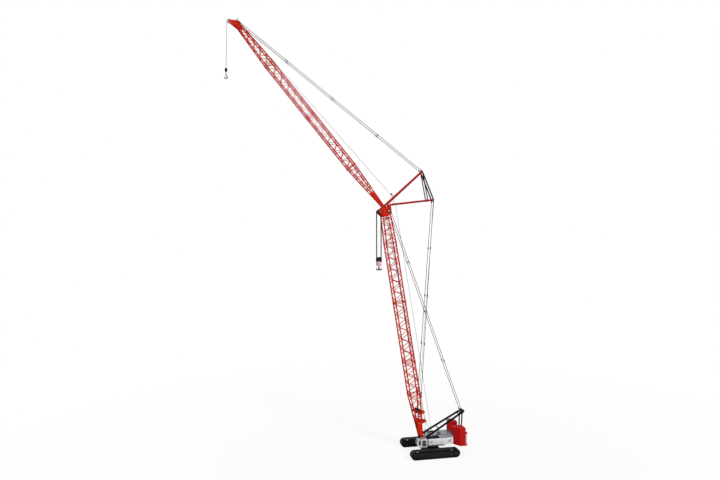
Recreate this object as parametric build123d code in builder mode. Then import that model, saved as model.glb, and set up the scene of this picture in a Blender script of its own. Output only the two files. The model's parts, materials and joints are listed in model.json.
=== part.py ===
"""Crawler crane with lattice boom and luffing jib, a 1:10 scale model, in millimetres.

+X is forward, +Y is the crane's left, +Z is up.
The origin is on the ground, on the axis about which the upperworks swing.
"""
import os
from math import atan2, cos, degrees, pi, radians, sin

from build123d import *

os.makedirs("parts", exist_ok=True)

# ---- clearances ----
fit_gap = 0.3          # between curved faces that all but touch
side_gap = 6.0         # beside a pinned eye

# ---- tracks ----
track_gauge = 642.0
wheel_base = 762.0
track_height = 148.0
shoe_width = 115.0
shoe_thickness = 6.0
shoe_space = 3.0
shoe_count = 62
chain_width = 50.0
chain_thickness = 8.0
wheel_width = 44.0
roller_radius = 16.0
roller_count = 9
roller_spread = 620.0
roller_axle_radius = 5.0
sprocket_teeth = 15
tooth_depth = 6.0
wheel_axle_radius = 10.0
wheel_hub_radius = 30.0
final_drive_radius = 40.0
final_drive_width = 26.0

# ---- crawler frames and carbody ----
frame_width = 72.0
frame_length = 610.0
frame_top = 112.0
frame_floor = 48.0
skirt_bottom = 22.0
skirt_thickness = 9.0
yoke_thickness = 9.0
yoke_radius = 26.0
skid_length = 90.0
skid_width = 36.0
skid_spread = 220.0
carbody_size = 300.0
carbody_corner = 70.0
carbody_bottom = 46.0
carbody_top = 126.0
arm_width = 84.0
arm_spread = 210.0
arm_bottom = 54.0
arm_top = 108.0

# ---- swing bearing and revolving frame ----
bearing_radius = 126.0
bearing_bore_radius = 84.0
bearing_low_height = 15.0
bearing_high_height = 13.7
deck_bottom = 155.0
deck_thickness = 8.0
deck_front = 200.0
deck_rear = -440.0
deck_half_width = 128.0
deck_neck = -405.0       # rearward of this the deck is a narrow tail between the counterweights
tail_half_width = 98.0
girder_half_width = 60.0
girder_height = 30.0
girder_front = 120.0

# ---- boom foot, on the revolving frame ----
boom_foot_x = 162.0
boom_foot_z = 258.0
foot_pin_radius = 9.0
bracket_thickness = 8.0
bracket_eye_radius = 20.0
bracket_front_reach = 38.0
bracket_rear_reach = 70.0
foot_eye_width = 18.0
boom_eye_y = 88.0
mast_eye_y = 118.0
mast_eye_width = 10.0

# ---- machinery house ----
house_bottom = 163.0
house_top = 312.0
house_front = 65.0
house_step = -25.0       # forward of this the wall stands clear of the mast's foot
house_rear = -408.0
house_outer_y = 165.0
house_inner_y = 95.0
house_step_y = 134.0
panel_thickness = 3.0
hood_front = -205.0
hood_rear = -425.0
hood_top = 330.0
hood_half_width = 88.0
hood_crown = 15.0        # roof thickness, deep enough for its rounded edges
hood_round = 12.0
engine_length = 150.0
engine_width = 84.0
engine_height = 92.0
exhaust_radius = 7.0
exhaust_height = 44.0
catwalk_width = 46.0
catwalk_thickness = 4.0
catwalk_front = 60.0
catwalk_rear = -230.0

# ---- cab ----
cab_rear = 105.0
cab_nose = 300.0
cab_bottom = 161.0
cab_ledge_thickness = 6.0
cab_top = 300.0
cab_inner_y = 132.0
cab_outer_y = 226.0
cab_wall = 4.0
cab_pillar = 12.0
cab_corner = 14.0
glass_thickness = 1.5
glass_inset = 1.2
door_rear = 122.0
door_length = 92.0
door_bottom = 168.0
door_height = 121.0
door_gap = 2.0
door_frame = 9.0
hinge_radius = 2.5
hinge_stand = 0.5
hinge_length = 72.0
hinge_leaf = 12.0
knuckle_length = 10.0

# ---- counterweight ----
tray_bottom = 157.0
tray_thickness = 16.0
tray_rear = -604.0
beam_front = -440.0
slab_count = 8
slab_pitch = 37.6
slab_groove = 1.6
groove_depth = 2.5
stack_inner_y = 100.0
stack_outer_y = 295.0
stack_front_x = -412.0
stack_front_y = 172.0
stack_shoulder_x = -497.0
stack_rear = -600.0
post_radius = 4.5
post_y = 268.0
post_standoff = 24.0
post_cap_top = 392.0
post_cap_height = 30.0

# ---- winches and bail ----
hoist_winch_places = (84.0, -2.0, -88.0)
boom_winch_x = -166.0
drum_radius = 19.0
drum_flange_radius = 30.0
drum_length = 92.0
flange_thickness = 5.0
stand_thickness = 7.0
stand_length = 50.0
bail_x = -612.0
bail_z = 350.0
bail_half_width = 52.0
bail_leg_radius = 8.0
bail_sheave_radius = 24.0

# ---- live mast ----
mast_tip_x = -635.0
mast_tip_z = 690.0
mast_tip_y = 62.0
mast_leg_radius = 11.0
mast_foot_length = 60.0
mast_sheave_radius = 32.0
mast_sheave_count = 8
mast_sheave_pitch = 12.0

# ---- main boom ----
boom_angle = 80.94
boom_half_depth = 91.0
boom_half_width = 97.5
boom_tip_half_depth = 68.0
boom_foot_half_depth = 13.0
boom_butt_length = 800.0
boom_short_insert = 610.0
boom_long_insert = 1110.0
boom_tip_length = 646.0
boom_half_bay = 101.5
boom_chord_radius = 7.5
boom_lacing_radius = 3.5
foot_plate_length = 350.0
foot_plate_thickness = 5.0
connector_size = 18.0
connector_length = 24.0
node_space = 6.0

# ---- boom head ----
head_plate_y = 88.0
head_plate_thickness = 8.0
head_plate_length = 150.0
main_sheave_depth = 118.0
main_sheave_below = 36.0
sheave_radius = 42.0
sheave_width = 10.0
main_sheave_pitch = 22.0
main_sheave_count = 4
rear_sheave_depth = -50.0
rear_sheave_below = 50.0
rear_sheave_count = 3
sheave_axle_radius = 8.0
jib_foot_depth = 19.0
jib_foot_above = 38.0
jib_pin_radius = 8.0
head_eye_radius = 24.0
rear_lug_y = 76.0
rear_lug_depth = -96.0
rear_lug_above = 65.0
rear_pin_radius = 6.0
rear_eye_radius = 15.0
pendant_lug_depth = -95.0

# ---- struts ----
front_tip_x = 109.0
front_tip_z = 5206.0
rear_tip_x = -107.0
rear_tip_z = 4676.0
strut_tip_y = 45.0
front_foot_y = 103.0
rear_foot_y = 62.0
strut_eye_width = 10.0
strut_foot_length = 40.0
strut_leg_radius = 9.0
strut_rung_radius = 6.0
strut_sheave_radius = 22.0
strut_sheave_width = 8.0
strut_sheave_pitch = 14.0
strut_sheave_count = 5
strut_bar_radius = 12.0

# ---- jib ----
jib_angle = 50.19
jib_half_depth = 71.0
jib_half_width = 70.0
jib_tip_half_depth = 34.0
jib_tip_half_width = 44.0
jib_foot_half_depth = 10.0
jib_butt_length = 960.0
jib_insert_length = 1180.0
jib_tip_length = 870.0
jib_half_bay = 90.8
jib_chord_radius = 6.5
jib_lacing_radius = 3.0
jib_plate_length = 400.0
jib_eye_y = 70.0
jib_eye_width = 14.0
jib_head_plate_y = 36.0
jib_sheave_depth = 78.0
jib_sheave_beyond = 138.0
jib_sheave_radius = 38.5
jib_pendant_depth = -42.0
jib_pendant_beyond = 38.0

# ---- pendants ----
pendant_radius = 2.5
pendant_link_radius = 5.0
pendant_link_length = 46.0
boom_pendant_y = 62.0
backstay_y = 40.0
backstay_lug_depth = 112.0
backstay_lug_length = 60.0
backstay_lug_thickness = 8.0
jib_pendant_y = 40.0

# ---- hooks ----
rope_radius = 1.5
block_sheave_z = 3540.0
block_cheek_y = 50.0
block_cheek_thickness = 6.0
block_cheek_radius = 46.0
block_foot_z = 3412.0
block_foot_half_width = 24.0
block_foot_height = 18.0
hook_shank_radius = 9.0
hook_bottom_z = 3336.0
hook_horn_radius = 24.0
hook_thickness = 17.0
ball_top_z = 6930.0
ball_radius = 22.5
ball_length = 74.0
ball_hook_bottom_z = 6730.0

# ---- worked out from the dimensions above ----
track_y = track_gauge / 2
shoe_radius = track_height / 2
chain_radius = shoe_radius - shoe_thickness
wheel_radius = chain_radius - chain_thickness
wheel_x = wheel_base / 2
bearing_middle = carbody_top + bearing_low_height
floor_z = deck_bottom + deck_thickness
girder_top = floor_z + girder_height
boom_section_starts = [0.0, boom_butt_length, boom_butt_length + boom_short_insert]
boom_section_starts.append(boom_section_starts[-1] + boom_long_insert)
boom_section_starts.append(boom_section_starts[-1] + boom_long_insert)
boom_length = boom_section_starts[-1] + boom_tip_length
jib_section_starts = [0.0, jib_butt_length, jib_butt_length + jib_insert_length]
jib_section_starts.append(jib_section_starts[-1] + jib_insert_length)
jib_length = jib_section_starts[-1] + jib_tip_length


def side_plane(y):
    """Upright plane at a distance left, with sketch X forward and sketch Y up."""
    return Plane(origin=(0, y, 0), x_dir=(1, 0, 0), z_dir=(0, -1, 0))


def leaning_frame(x, z, angle):
    """Frame at a foot pin, +Z along a boom at that angle, +X out of its underside, +Y left."""
    lean = radians(angle)
    return Plane(origin=(x, 0, z), x_dir=(sin(lean), 0, -cos(lean)), z_dir=(cos(lean), 0, sin(lean)))


def web_plane(frame, y):
    """Side plane of a leaning frame, with sketch X its depth and sketch Y its length."""
    return Plane(origin=frame.from_local_coords((0, y, 0)), x_dir=frame.x_dir, z_dir=(0, -1, 0))


def angle_between(low, high):
    """Angle above +X, in degrees, of the line from one (x, z) point to another."""
    return degrees(atan2(high[1] - low[1], high[0] - low[0]))


def save(builder, name):
    """Label a finished piece and write it as a STEP file of the same name."""
    builder.part.label = name
    export_step(builder.part, f"parts/{name}.step")


def lay_tubes(runs, radius):
    """Add a round tube along each run, given as (start, end), all of one length at a time."""
    by_length = {}
    for start, end in runs:
        run = Vector(*end) - Vector(*start)
        middle = (Vector(*end) + Vector(*start)) * 0.5
        by_length.setdefault(round(run.length, 2), []).append(Plane(origin=middle, z_dir=run))
    for length, planes in by_length.items():
        with Locations(*planes):
            Cylinder(radius, length)


def between(value, low, high, low_value, high_value):
    """Straight-line value at a place between two others."""
    share = (value - low) / (high - low)
    return low_value + share * (high_value - low_value)


class Lattice:
    """One straight or tapered box section of a lattice boom, between two stations."""

    def __init__(self, low, high, low_size, high_size, chord_radius, lacing_radius):
        self.low, self.high = low, high
        self.low_size, self.high_size = low_size, high_size     # (half depth, half width)
        self.chord_radius, self.lacing_radius = chord_radius, lacing_radius

    def depth(self, station):
        return between(station, self.low, self.high, self.low_size[0], self.high_size[0])

    def width(self, station):
        return between(station, self.low, self.high, self.low_size[1], self.high_size[1])

    def chords(self):
        """Add the four corner chords."""
        runs = []
        for front in (-1, 1):
            for left in (-1, 1):
                low = (front * self.low_size[0], left * self.low_size[1], self.low)
                high = (front * self.high_size[0], left * self.high_size[1], self.high)
                runs.append((low, high))
        lay_tubes(runs, self.chord_radius)

    def lacing(self, start, stop, half_bay):
        """Add zigzag lacing on all four faces from one station to another."""
        buried = self.chord_radius - 0.65 * self.lacing_radius
        count = max(2, round((stop - start) / half_bay))
        pitch = (stop - start) / count
        runs = []
        for bay in range(count):
            low = start + bay * pitch + node_space
            high = start + (bay + 1) * pitch - node_space
            lean = 1 if bay % 2 == 0 else -1
            for side in (-1, 1):
                low_reach = lean * (self.depth(low) - buried)
                high_reach = -lean * (self.depth(high) - buried)
                runs.append(((low_reach, side * self.width(low), low),
                             (high_reach, side * self.width(high), high)))
                low_reach = lean * (self.width(low) - buried)
                high_reach = -lean * (self.width(high) - buried)
                runs.append(((side * self.depth(low), low_reach, low),
                             (side * self.depth(high), high_reach, high)))
        lay_tubes(runs, self.lacing_radius)

    def end_frame(self, station):
        """Add four straight members round the section at a station."""
        buried = self.chord_radius - 0.65 * self.lacing_radius
        deep, wide = self.depth(station), self.width(station)
        runs = []
        for side in (-1, 1):
            runs.append(((buried - deep, side * wide, station), (deep - buried, side * wide, station)))
            runs.append(((side * deep, buried - wide, station), (side * deep, wide - buried, station)))
        lay_tubes(runs, self.lacing_radius)

    def connectors(self, station, inward):
        """Add the pinned joint block on each chord at a station, reaching inward along the boom."""
        middle = station + inward * connector_length / 2
        with Locations((0, 0, middle)):
            with GridLocations(2 * self.depth(middle), 2 * self.width(middle), 2, 2):
                Box(connector_size, connector_size, connector_length)


def plain_section(frame, start, length, size, radii, half_bay):
    """Straight lattice section between two pinned ends."""
    section = Lattice(start, start + length, size, size, *radii)
    with BuildPart(frame) as piece:
        section.chords()
        section.lacing(start + connector_length, start + length - connector_length, half_bay)
        section.end_frame(start + connector_length / 2)
        section.end_frame(start + length - connector_length / 2)
        section.connectors(start, 1)
        section.connectors(start + length, -1)
    return piece


boom_frame = leaning_frame(boom_foot_x, boom_foot_z, boom_angle)
jib_foot = boom_frame.from_local_coords((jib_foot_depth, 0, boom_length + jib_foot_above))
jib_frame = leaning_frame(jib_foot.X, jib_foot.Z, jib_angle)
rear_strut_foot = boom_frame.from_local_coords((rear_lug_depth, 0, boom_length + rear_lug_above))


# ================= undercarriage =================

def track_point(travel):
    """Point (x, z) along the outer face of the shoes, from the rear of the ground run, going forward."""
    arc = pi * shoe_radius
    travel = travel % (2 * wheel_base + 2 * arc)
    if travel < wheel_base:
        return travel - wheel_x, 0.0
    if travel < wheel_base + arc:
        turn = (travel - wheel_base) / shoe_radius
        return wheel_x + shoe_radius * sin(turn), shoe_radius * (1 - cos(turn))
    if travel < 2 * wheel_base + arc:
        return wheel_x - (travel - wheel_base - arc), 2 * shoe_radius
    turn = (travel - 2 * wheel_base - arc) / shoe_radius
    return -wheel_x - shoe_radius * sin(turn), shoe_radius * (1 + cos(turn))


def make_track(side, name):
    path = 2 * wheel_base + 2 * pi * shoe_radius
    pitch = path / shoe_count
    shoe_length = pitch - shoe_space
    with BuildPart() as track:
        with BuildSketch(side_plane(side * track_y)):
            with Locations((0, shoe_radius)):
                SlotCenterToCenter(wheel_base, 2 * chain_radius)
                SlotCenterToCenter(wheel_base, 2 * wheel_radius, mode=Mode.SUBTRACT)
        extrude(amount=chain_width / 2, both=True)
        with BuildSketch(side_plane(side * track_y)):
            for shoe in range(shoe_count):
                # each shoe is a flat plate whose two ends lie on the path
                tail_x, tail_z = track_point(shoe * pitch)
                tip_x, tip_z = track_point(shoe * pitch + shoe_length)
                angle = degrees(atan2(tip_z - tail_z, tip_x - tail_x))
                with Locations(Location(((tail_x + tip_x) / 2, (tail_z + tip_z) / 2, 0), (0, 0, angle))):
                    Rectangle(shoe_length, shoe_thickness + 1, align=(Align.CENTER, Align.MIN))
        extrude(amount=shoe_width / 2, both=True)
    save(track, name)


def make_crawler_frame(side, name):
    y = side * track_y
    with BuildPart() as frame:
        with Locations((0, y, (frame_top + frame_floor) / 2)):
            Box(frame_length, frame_width, frame_top - frame_floor)
        # side skirts that carry the rollers, and yokes out to the wheels
        skirt_y = (frame_width - skirt_thickness) / 2
        skirt_height = frame_floor - skirt_bottom
        with Locations((0, y, skirt_bottom + skirt_height / 2)):
            with GridLocations(frame_length, 2 * skirt_y, 1, 2):
                Box(frame_length, skirt_thickness, skirt_height)
        for cheek in (-1, 1):
            with BuildSketch(side_plane(y + cheek * skirt_y)):
                with Locations((0, shoe_radius)):
                    SlotCenterToCenter(wheel_base, 2 * yoke_radius)
                with Locations((-wheel_x, shoe_radius), (wheel_x, shoe_radius)):
                    Circle(wheel_axle_radius + fit_gap, mode=Mode.SUBTRACT)
            extrude(amount=yoke_thickness / 2, both=True)
        # pads that carry the upper run of the chain
        skid_top = track_height - shoe_thickness - chain_thickness - fit_gap
        with Locations((0, y, 0)):
            with GridLocations(skid_spread, 1, 3, 1):
                with Locations((0, 0, (skid_top + frame_top) / 2)):
                    Box(skid_length, skid_width, skid_top - frame_top)
    save(frame, name)


for side, word in ((1, "left"), (-1, "right")):
    make_track(side, f"track_{word}")
    make_crawler_frame(side, f"crawler_frame_{word}")

with BuildPart() as rollers:
    roller_length = frame_width - 2 * skirt_thickness - 2 * fit_gap
    roller_z = shoe_thickness + chain_thickness + fit_gap + roller_radius
    roller_space = roller_spread / (roller_count - 1)
    with Locations((0, 0, roller_z)):
        with GridLocations(roller_space, track_gauge, roller_count, 2):
            Cylinder(roller_radius, roller_length, rotation=(90, 0, 0))
save(rollers, "track_rollers")

with BuildPart() as sprockets:
    root_radius = wheel_radius - fit_gap - tooth_depth
    tooth_width = pi * root_radius / sprocket_teeth
    for side in (-1, 1):
        y = side * track_y
        with BuildSketch(side_plane(y)):
            with Locations((-wheel_x, shoe_radius)):
                Circle(root_radius)
                with PolarLocations(root_radius, sprocket_teeth):
                    Rectangle(2 * tooth_depth - 2 * fit_gap, tooth_width)
        extrude(amount=wheel_width / 2, both=True)
        with Locations(Location((-wheel_x, y, shoe_radius), (90, 0, 0))):
            Cylinder(wheel_axle_radius, frame_width)
        # final drive case, outside the yoke
        outer = y + side * (frame_width / 2 + final_drive_width / 2)
        with Locations(Location((-wheel_x, outer, shoe_radius), (90, 0, 0))):
            Cylinder(final_drive_radius, final_drive_width)
save(sprockets, "sprockets")

with BuildPart() as idlers:
    for side in (-1, 1):
        with Locations(Location((wheel_x, side * track_y, shoe_radius), (90, 0, 0))):
            Cylinder(wheel_radius - fit_gap, wheel_width)
            Cylinder(wheel_radius - 10, wheel_width, mode=Mode.SUBTRACT)
            Cylinder(wheel_radius - 9, wheel_width / 3)
            Cylinder(wheel_hub_radius, wheel_width)
            Cylinder(wheel_axle_radius, frame_width + 8)
save(idlers, "idlers")

with BuildPart() as carbody:
    with BuildSketch(Plane.XY.offset(carbody_bottom)) as plan:
        Rectangle(carbody_size, carbody_size)
        chamfer(plan.vertices(), length=carbody_corner)
    extrude(amount=carbody_top - carbody_bottom)
    # arms that reach both crawler frames
    arm_length = track_gauge - frame_width
    with Locations((0, 0, (arm_top + arm_bottom) / 2)):
        with GridLocations(arm_spread, 1, 2, 1):
            Box(arm_width, arm_length, arm_top - arm_bottom)
save(carbody, "carbody")

with BuildPart() as swing_bearing:
    with BuildSketch(Plane.XY.offset(carbody_top)):
        Circle(bearing_radius)
        Circle(bearing_bore_radius, mode=Mode.SUBTRACT)
    extrude(amount=bearing_low_height - fit_gap)
save(swing_bearing, "swing_bearing")


# ================= upperworks =================

with BuildPart() as revolving_frame:
    with BuildSketch(Plane.XY.offset(bearing_middle)):
        Circle(bearing_radius)
        Circle(bearing_bore_radius, mode=Mode.SUBTRACT)
    extrude(amount=deck_bottom - bearing_middle)
    with BuildSketch(Plane.XY.offset(deck_bottom)):
        with Locations(((deck_front + deck_neck) / 2, 0)):
            Rectangle(deck_front - deck_neck, 2 * deck_half_width)
        with Locations(((deck_front + deck_rear) / 2, 0)):
            Rectangle(deck_front - deck_rear, 2 * tail_half_width)
    extrude(amount=deck_thickness)
    with Locations(((girder_front + deck_rear) / 2, 0, floor_z + girder_height / 2)):
        Box(girder_front - deck_rear, 2 * girder_half_width, girder_height)
    # ledge that carries the cab
    with Locations(((cab_rear + deck_front) / 2, deck_half_width, cab_bottom - cab_ledge_thickness / 2)):
        Box(
            deck_front - cab_rear - 8,
            cab_outer_y - deck_half_width - 20,
            cab_ledge_thickness,
            align=(Align.CENTER, Align.MIN, Align.CENTER),
        )
    # brackets either side of each boom foot, with one pin through them on each side
    half_space = foot_eye_width / 2 + 2 + bracket_thickness / 2
    for y in (boom_eye_y - half_space, boom_eye_y + half_space):
        for side in (-1, 1):
            with BuildSketch(side_plane(side * y)):
                with BuildLine():
                    Polyline(
                        (boom_foot_x - bracket_rear_reach, floor_z),
                        (boom_foot_x + bracket_front_reach, floor_z),
                        (boom_foot_x + bracket_eye_radius, boom_foot_z),
                        (boom_foot_x - bracket_eye_radius, boom_foot_z),
                        close=True,
                    )
                make_face()
                with Locations((boom_foot_x, boom_foot_z)):
                    Circle(bracket_eye_radius)
            extrude(amount=bracket_thickness / 2, both=True)
    pin_inner = boom_eye_y - half_space
    pin_outer = mast_eye_y + mast_eye_width / 2 + 2
    for side in (-1, 1):
        pin_y = side * (pin_inner + pin_outer) / 2
        with Locations(Location((boom_foot_x, pin_y, boom_foot_z), (90, 0, 0))):
            Cylinder(foot_pin_radius, pin_outer - pin_inner)
save(revolving_frame, "revolving_frame")


def make_house(side, name):
    """Side enclosure: a panel shell, stepped outward where the mast's foot passes."""
    with BuildPart() as house:
        for inset, mode in ((0.0, Mode.ADD), (panel_thickness, Mode.SUBTRACT)):
            with BuildSketch(Plane.XY.offset(house_bottom + inset)):
                with BuildLine():
                    Polyline(
                        (house_rear + inset, side * (house_inner_y + inset)),
                        (house_step - inset, side * (house_inner_y + inset)),
                        (house_step - inset, side * (house_step_y + inset)),
                        (house_front - inset, side * (house_step_y + inset)),
                        (house_front - inset, side * (house_outer_y - inset)),
                        (house_rear + inset, side * (house_outer_y - inset)),
                        close=True,
                    )
                make_face()
            extrude(amount=house_top - house_bottom - 2 * inset, mode=mode)
        # brackets under the floor, back to the deck's edge
        with Locations((0, side * (deck_half_width + house_outer_y) / 2, deck_bottom + deck_thickness / 2)):
            with Locations((house_rear + 40, 0, 0), (house_rear + 200, 0, 0), (house_front - 60, 0, 0)):
                Box(24, house_outer_y - deck_half_width, deck_thickness)
    save(house, name)


make_house(1, "house_left")
make_house(-1, "house_right")

with BuildPart() as hood:
    hood_length = hood_front - hood_rear
    hood_middle = (hood_front + hood_rear) / 2
    hood_height = hood_top - girder_top
    with Locations((hood_middle, 0, girder_top + hood_height / 2)):
        Box(hood_length, 2 * hood_half_width, hood_height)
    fillet(hood.edges().filter_by(Axis.X).group_by(Axis.Z)[-1], radius=hood_round)
    cavity_height = hood_height - panel_thickness - hood_crown
    with Locations((hood_middle, 0, girder_top + panel_thickness + cavity_height / 2)):
        Box(
            hood_length - 2 * panel_thickness,
            2 * hood_half_width - 2 * panel_thickness,
            cavity_height,
            mode=Mode.SUBTRACT,
        )
    with Locations((hood_middle, 45, hood_top + exhaust_height / 2)):
        Cylinder(exhaust_radius, exhaust_height)
save(hood, "engine_hood")

with BuildPart() as engine:
    with Locations((hood_middle, 0, girder_top + panel_thickness + engine_height / 2)):
        Box(engine_length, engine_width, engine_height)
save(engine, "engine_block")

with BuildPart() as catwalks:
    catwalk_x = (catwalk_front + catwalk_rear) / 2
    with Locations((catwalk_x, 0, house_bottom + catwalk_thickness / 2)):
        with GridLocations(1, 2 * house_outer_y + catwalk_width, 1, 2):
            Box(catwalk_front - catwalk_rear, catwalk_width, catwalk_thickness)
save(catwalks, "catwalks")


# ---- winches ----

drum_z = girder_top + drum_flange_radius + 4
stand_y = drum_length / 2 + stand_thickness / 2 + 4


def make_winches(places, name):
    """Rope drums on the girder, each drum's shaft carried by a stand at both ends."""
    with BuildPart() as winches:
        for x in places:
            with Locations(Location((x, 0, drum_z), (90, 0, 0))):
                Cylinder(drum_radius, drum_length)
                with Locations((0, 0, -drum_length / 2), (0, 0, drum_length / 2)):
                    Cylinder(drum_flange_radius, flange_thickness)
                Cylinder(drum_radius / 2, drum_length + 2 * stand_thickness + 8)
            for side in (-1, 1):
                with BuildSketch(side_plane(side * stand_y)):
                    with BuildLine():
                        Polyline(
                            (x - stand_length / 2, girder_top),
                            (x + stand_length / 2, girder_top),
                            (x + drum_radius, drum_z),
                            (x - drum_radius, drum_z),
                            close=True,
                        )
                    make_face()
                    with Locations((x, drum_z)):
                        Circle(drum_radius)
                extrude(amount=stand_thickness / 2, both=True)
    save(winches, name)


make_winches(hoist_winch_places, "hoist_winches")
make_winches((boom_winch_x,), "boom_hoist_winch")


# ---- cab ----

def cab_outline(inset):
    """Side profile of the cab, drawn in from its outer face by a given inset."""
    with BuildSketch() as profile:
        with BuildLine():
            Polyline(
                (cab_rear, cab_bottom),
                (cab_nose - 34, cab_bottom),
                (cab_nose, cab_bottom + 58),
                (cab_nose - 3, cab_top - 40),
                (cab_nose - 22, cab_top),
                (cab_rear, cab_top),
                close=True,
            )
        make_face()
        fillet(profile.vertices(), radius=cab_corner)
        if inset > 0:
            offset(amount=-inset, kind=Kind.INTERSECTION, mode=Mode.REPLACE)
    return profile.sketch


cab_middle_y = (cab_inner_y + cab_outer_y) / 2
cab_width = cab_outer_y - cab_inner_y
window_front = cab_nose - 26
window_top = cab_top - cab_pillar
window_bottom = cab_bottom + 40
door_front = door_rear + door_length
door_top = door_bottom + door_height
hinge_y = cab_outer_y + hinge_radius + hinge_stand
hinge_z = (door_bottom + door_top) / 2

with BuildPart() as cab_shell:
    with BuildSketch(side_plane(cab_middle_y)):
        add(cab_outline(0))
    extrude(amount=cab_width / 2, both=True)
    with BuildSketch(side_plane(cab_middle_y)):
        add(cab_outline(cab_wall))
    extrude(amount=cab_width / 2 - cab_wall, both=True, mode=Mode.SUBTRACT)
    # doorway
    with Locations(((door_rear + door_front) / 2, cab_outer_y, (door_bottom + door_top) / 2)):
        Box(door_length + 2 * door_gap, 4 * cab_wall, door_height + 2 * door_gap, mode=Mode.SUBTRACT)
    # front side window, ahead of the doorway, and the far side's window
    front_window_rear = door_front + door_gap + cab_pillar
    with BuildSketch(side_plane(cab_outer_y)):
        with BuildLine():
            Polyline(
                (front_window_rear, window_bottom),
                (window_front - 4, window_bottom),
                (window_front + 4, window_bottom + 26),
                (window_front - 12, window_top),
                (front_window_rear, window_top),
                close=True,
            )
        make_face()
    extrude(amount=2 * cab_wall, both=True, mode=Mode.SUBTRACT)
    with Locations(((cab_rear + cab_nose) / 2 - 12, cab_inner_y, (window_bottom + window_top) / 2)):
        Box(cab_nose - cab_rear - 70, 4 * cab_wall, window_top - window_bottom, mode=Mode.SUBTRACT)
    # windscreen, which also takes the lower front, and the rear window
    with Locations((cab_nose, cab_middle_y, (cab_bottom + window_top) / 2 + 12)):
        Box(50, cab_width - 2 * cab_pillar, window_top - cab_bottom - 20, mode=Mode.SUBTRACT)
    with Locations((cab_rear, cab_middle_y, (window_bottom + window_top) / 2)):
        Box(4 * cab_wall, cab_width - 2 * cab_pillar, window_top - window_bottom, mode=Mode.SUBTRACT)
    # fixed knuckles above and below the door's hinge barrel, with their leaves
    for end in (-1, 1):
        knuckle_z = hinge_z + end * (hinge_length / 2 + fit_gap + knuckle_length / 2)
        with Locations((door_rear, hinge_y, knuckle_z)):
            Cylinder(hinge_radius, knuckle_length)
        with Locations((door_rear, cab_outer_y, knuckle_z)):
            Box(
                hinge_leaf,
                hinge_y - cab_outer_y,
                knuckle_length,
                align=(Align.MAX, Align.MIN, Align.CENTER),
            )
save(cab_shell, "cab_shell")

with BuildPart() as cab_door:
    door_middle = (cab_outer_y - cab_wall / 2)
    with Locations(((door_rear + door_front) / 2, door_middle, (door_bottom + door_top) / 2)):
        Box(door_length, cab_wall, door_height)
        Box(door_length - 2 * door_frame, 2 * cab_wall, door_height - 2 * door_frame, mode=Mode.SUBTRACT)
    # hinge barrel and leaf along the rear edge
    with Locations((door_rear, hinge_y, hinge_z)):
        Cylinder(hinge_radius, hinge_length)
    with Locations((door_rear, cab_outer_y, hinge_z)):
        Box(hinge_leaf, hinge_y - cab_outer_y, hinge_length, align=(Align.MIN, Align.MIN, Align.CENTER))
save(cab_door, "cab_door")

with BuildPart() as door_glass:
    with Locations(((door_rear + door_front) / 2, door_middle, (door_bottom + door_top) / 2)):
        Box(
            door_length - 2 * door_frame - 2 * fit_gap,
            glass_thickness,
            door_height - 2 * door_frame - 2 * fit_gap,
        )
save(door_glass, "cab_door_glass")

with BuildPart() as cab_glass:
    # a thin skin just inside the cab's outline, kept only in the windscreen opening
    with BuildSketch(side_plane(cab_middle_y)):
        add(cab_outline(glass_inset))
        add(cab_outline(glass_inset + glass_thickness), mode=Mode.SUBTRACT)
    extrude(amount=cab_width / 2 - cab_pillar - fit_gap, both=True)
    with Locations((cab_nose, cab_middle_y, (cab_bottom + window_top) / 2 + 12)):
        Box(50 - 2 * fit_gap, cab_width, window_top - cab_bottom - 20 - 2 * fit_gap, mode=Mode.INTERSECT)
    with Locations((cab_rear + cab_wall / 2, cab_middle_y, (window_bottom + window_top) / 2)):
        Box(
            glass_thickness,
            cab_width - 2 * cab_pillar - 2 * fit_gap,
            window_top - window_bottom - 2 * fit_gap,
        )
    with Locations(
        ((cab_rear + cab_nose) / 2 - 12, cab_inner_y + cab_wall / 2, (window_bottom + window_top) / 2)
    ):
        Box(
            cab_nose - cab_rear - 70 - 2 * fit_gap,
            glass_thickness,
            window_top - window_bottom - 2 * fit_gap,
        )
    with BuildSketch(side_plane(cab_outer_y - cab_wall / 2)):
        with BuildLine():
            Polyline(
                (front_window_rear, window_bottom),
                (window_front - 4, window_bottom),
                (window_front + 4, window_bottom + 26),
                (window_front - 12, window_top),
                (front_window_rear, window_top),
                close=True,
            )
        make_face()
        offset(amount=-fit_gap, kind=Kind.INTERSECTION, mode=Mode.REPLACE)
    extrude(amount=glass_thickness / 2, both=True)
save(cab_glass, "cab_glass")

cab_floor = cab_bottom + cab_wall
with BuildPart() as seat:
    with Locations((176, cab_middle_y, cab_floor + 17)):
        Box(34, 34, 34)
    with BuildSketch(side_plane(cab_middle_y)):
        with Locations((178, cab_floor + 40)):
            RectangleRounded(54, 13, 4)
        with Locations(Location((150, cab_floor + 72, 0), (0, 0, 8))):
            RectangleRounded(12, 70, 4)
    extrude(amount=24, both=True)
save(seat, "operator_seat")

with BuildPart() as console:
    with Locations((244, cab_middle_y, cab_floor + 24)):
        Box(16, 60, 48)
    with Locations((236, cab_middle_y, cab_floor + 52)):
        Box(26, 66, 10)
save(console, "control_console")

# ---- counterweight ----

def stack_outline(side, inset):
    """Plan of one counterweight stack, its outer front corner cut off at an angle."""
    with BuildSketch() as plan:
        with BuildLine():
            Polyline(
                (stack_front_x - inset, side * (stack_inner_y + inset)),
                (stack_front_x - inset, side * (stack_front_y - inset / 2)),
                (stack_shoulder_x - inset, side * (stack_outer_y - inset)),
                (stack_rear + inset, side * (stack_outer_y - inset)),
                (stack_rear + inset, side * (stack_inner_y + inset)),
                close=True,
            )
        make_face()
    return plan.sketch


tray_top = tray_bottom + tray_thickness
stack_height = slab_count * slab_pitch

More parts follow.
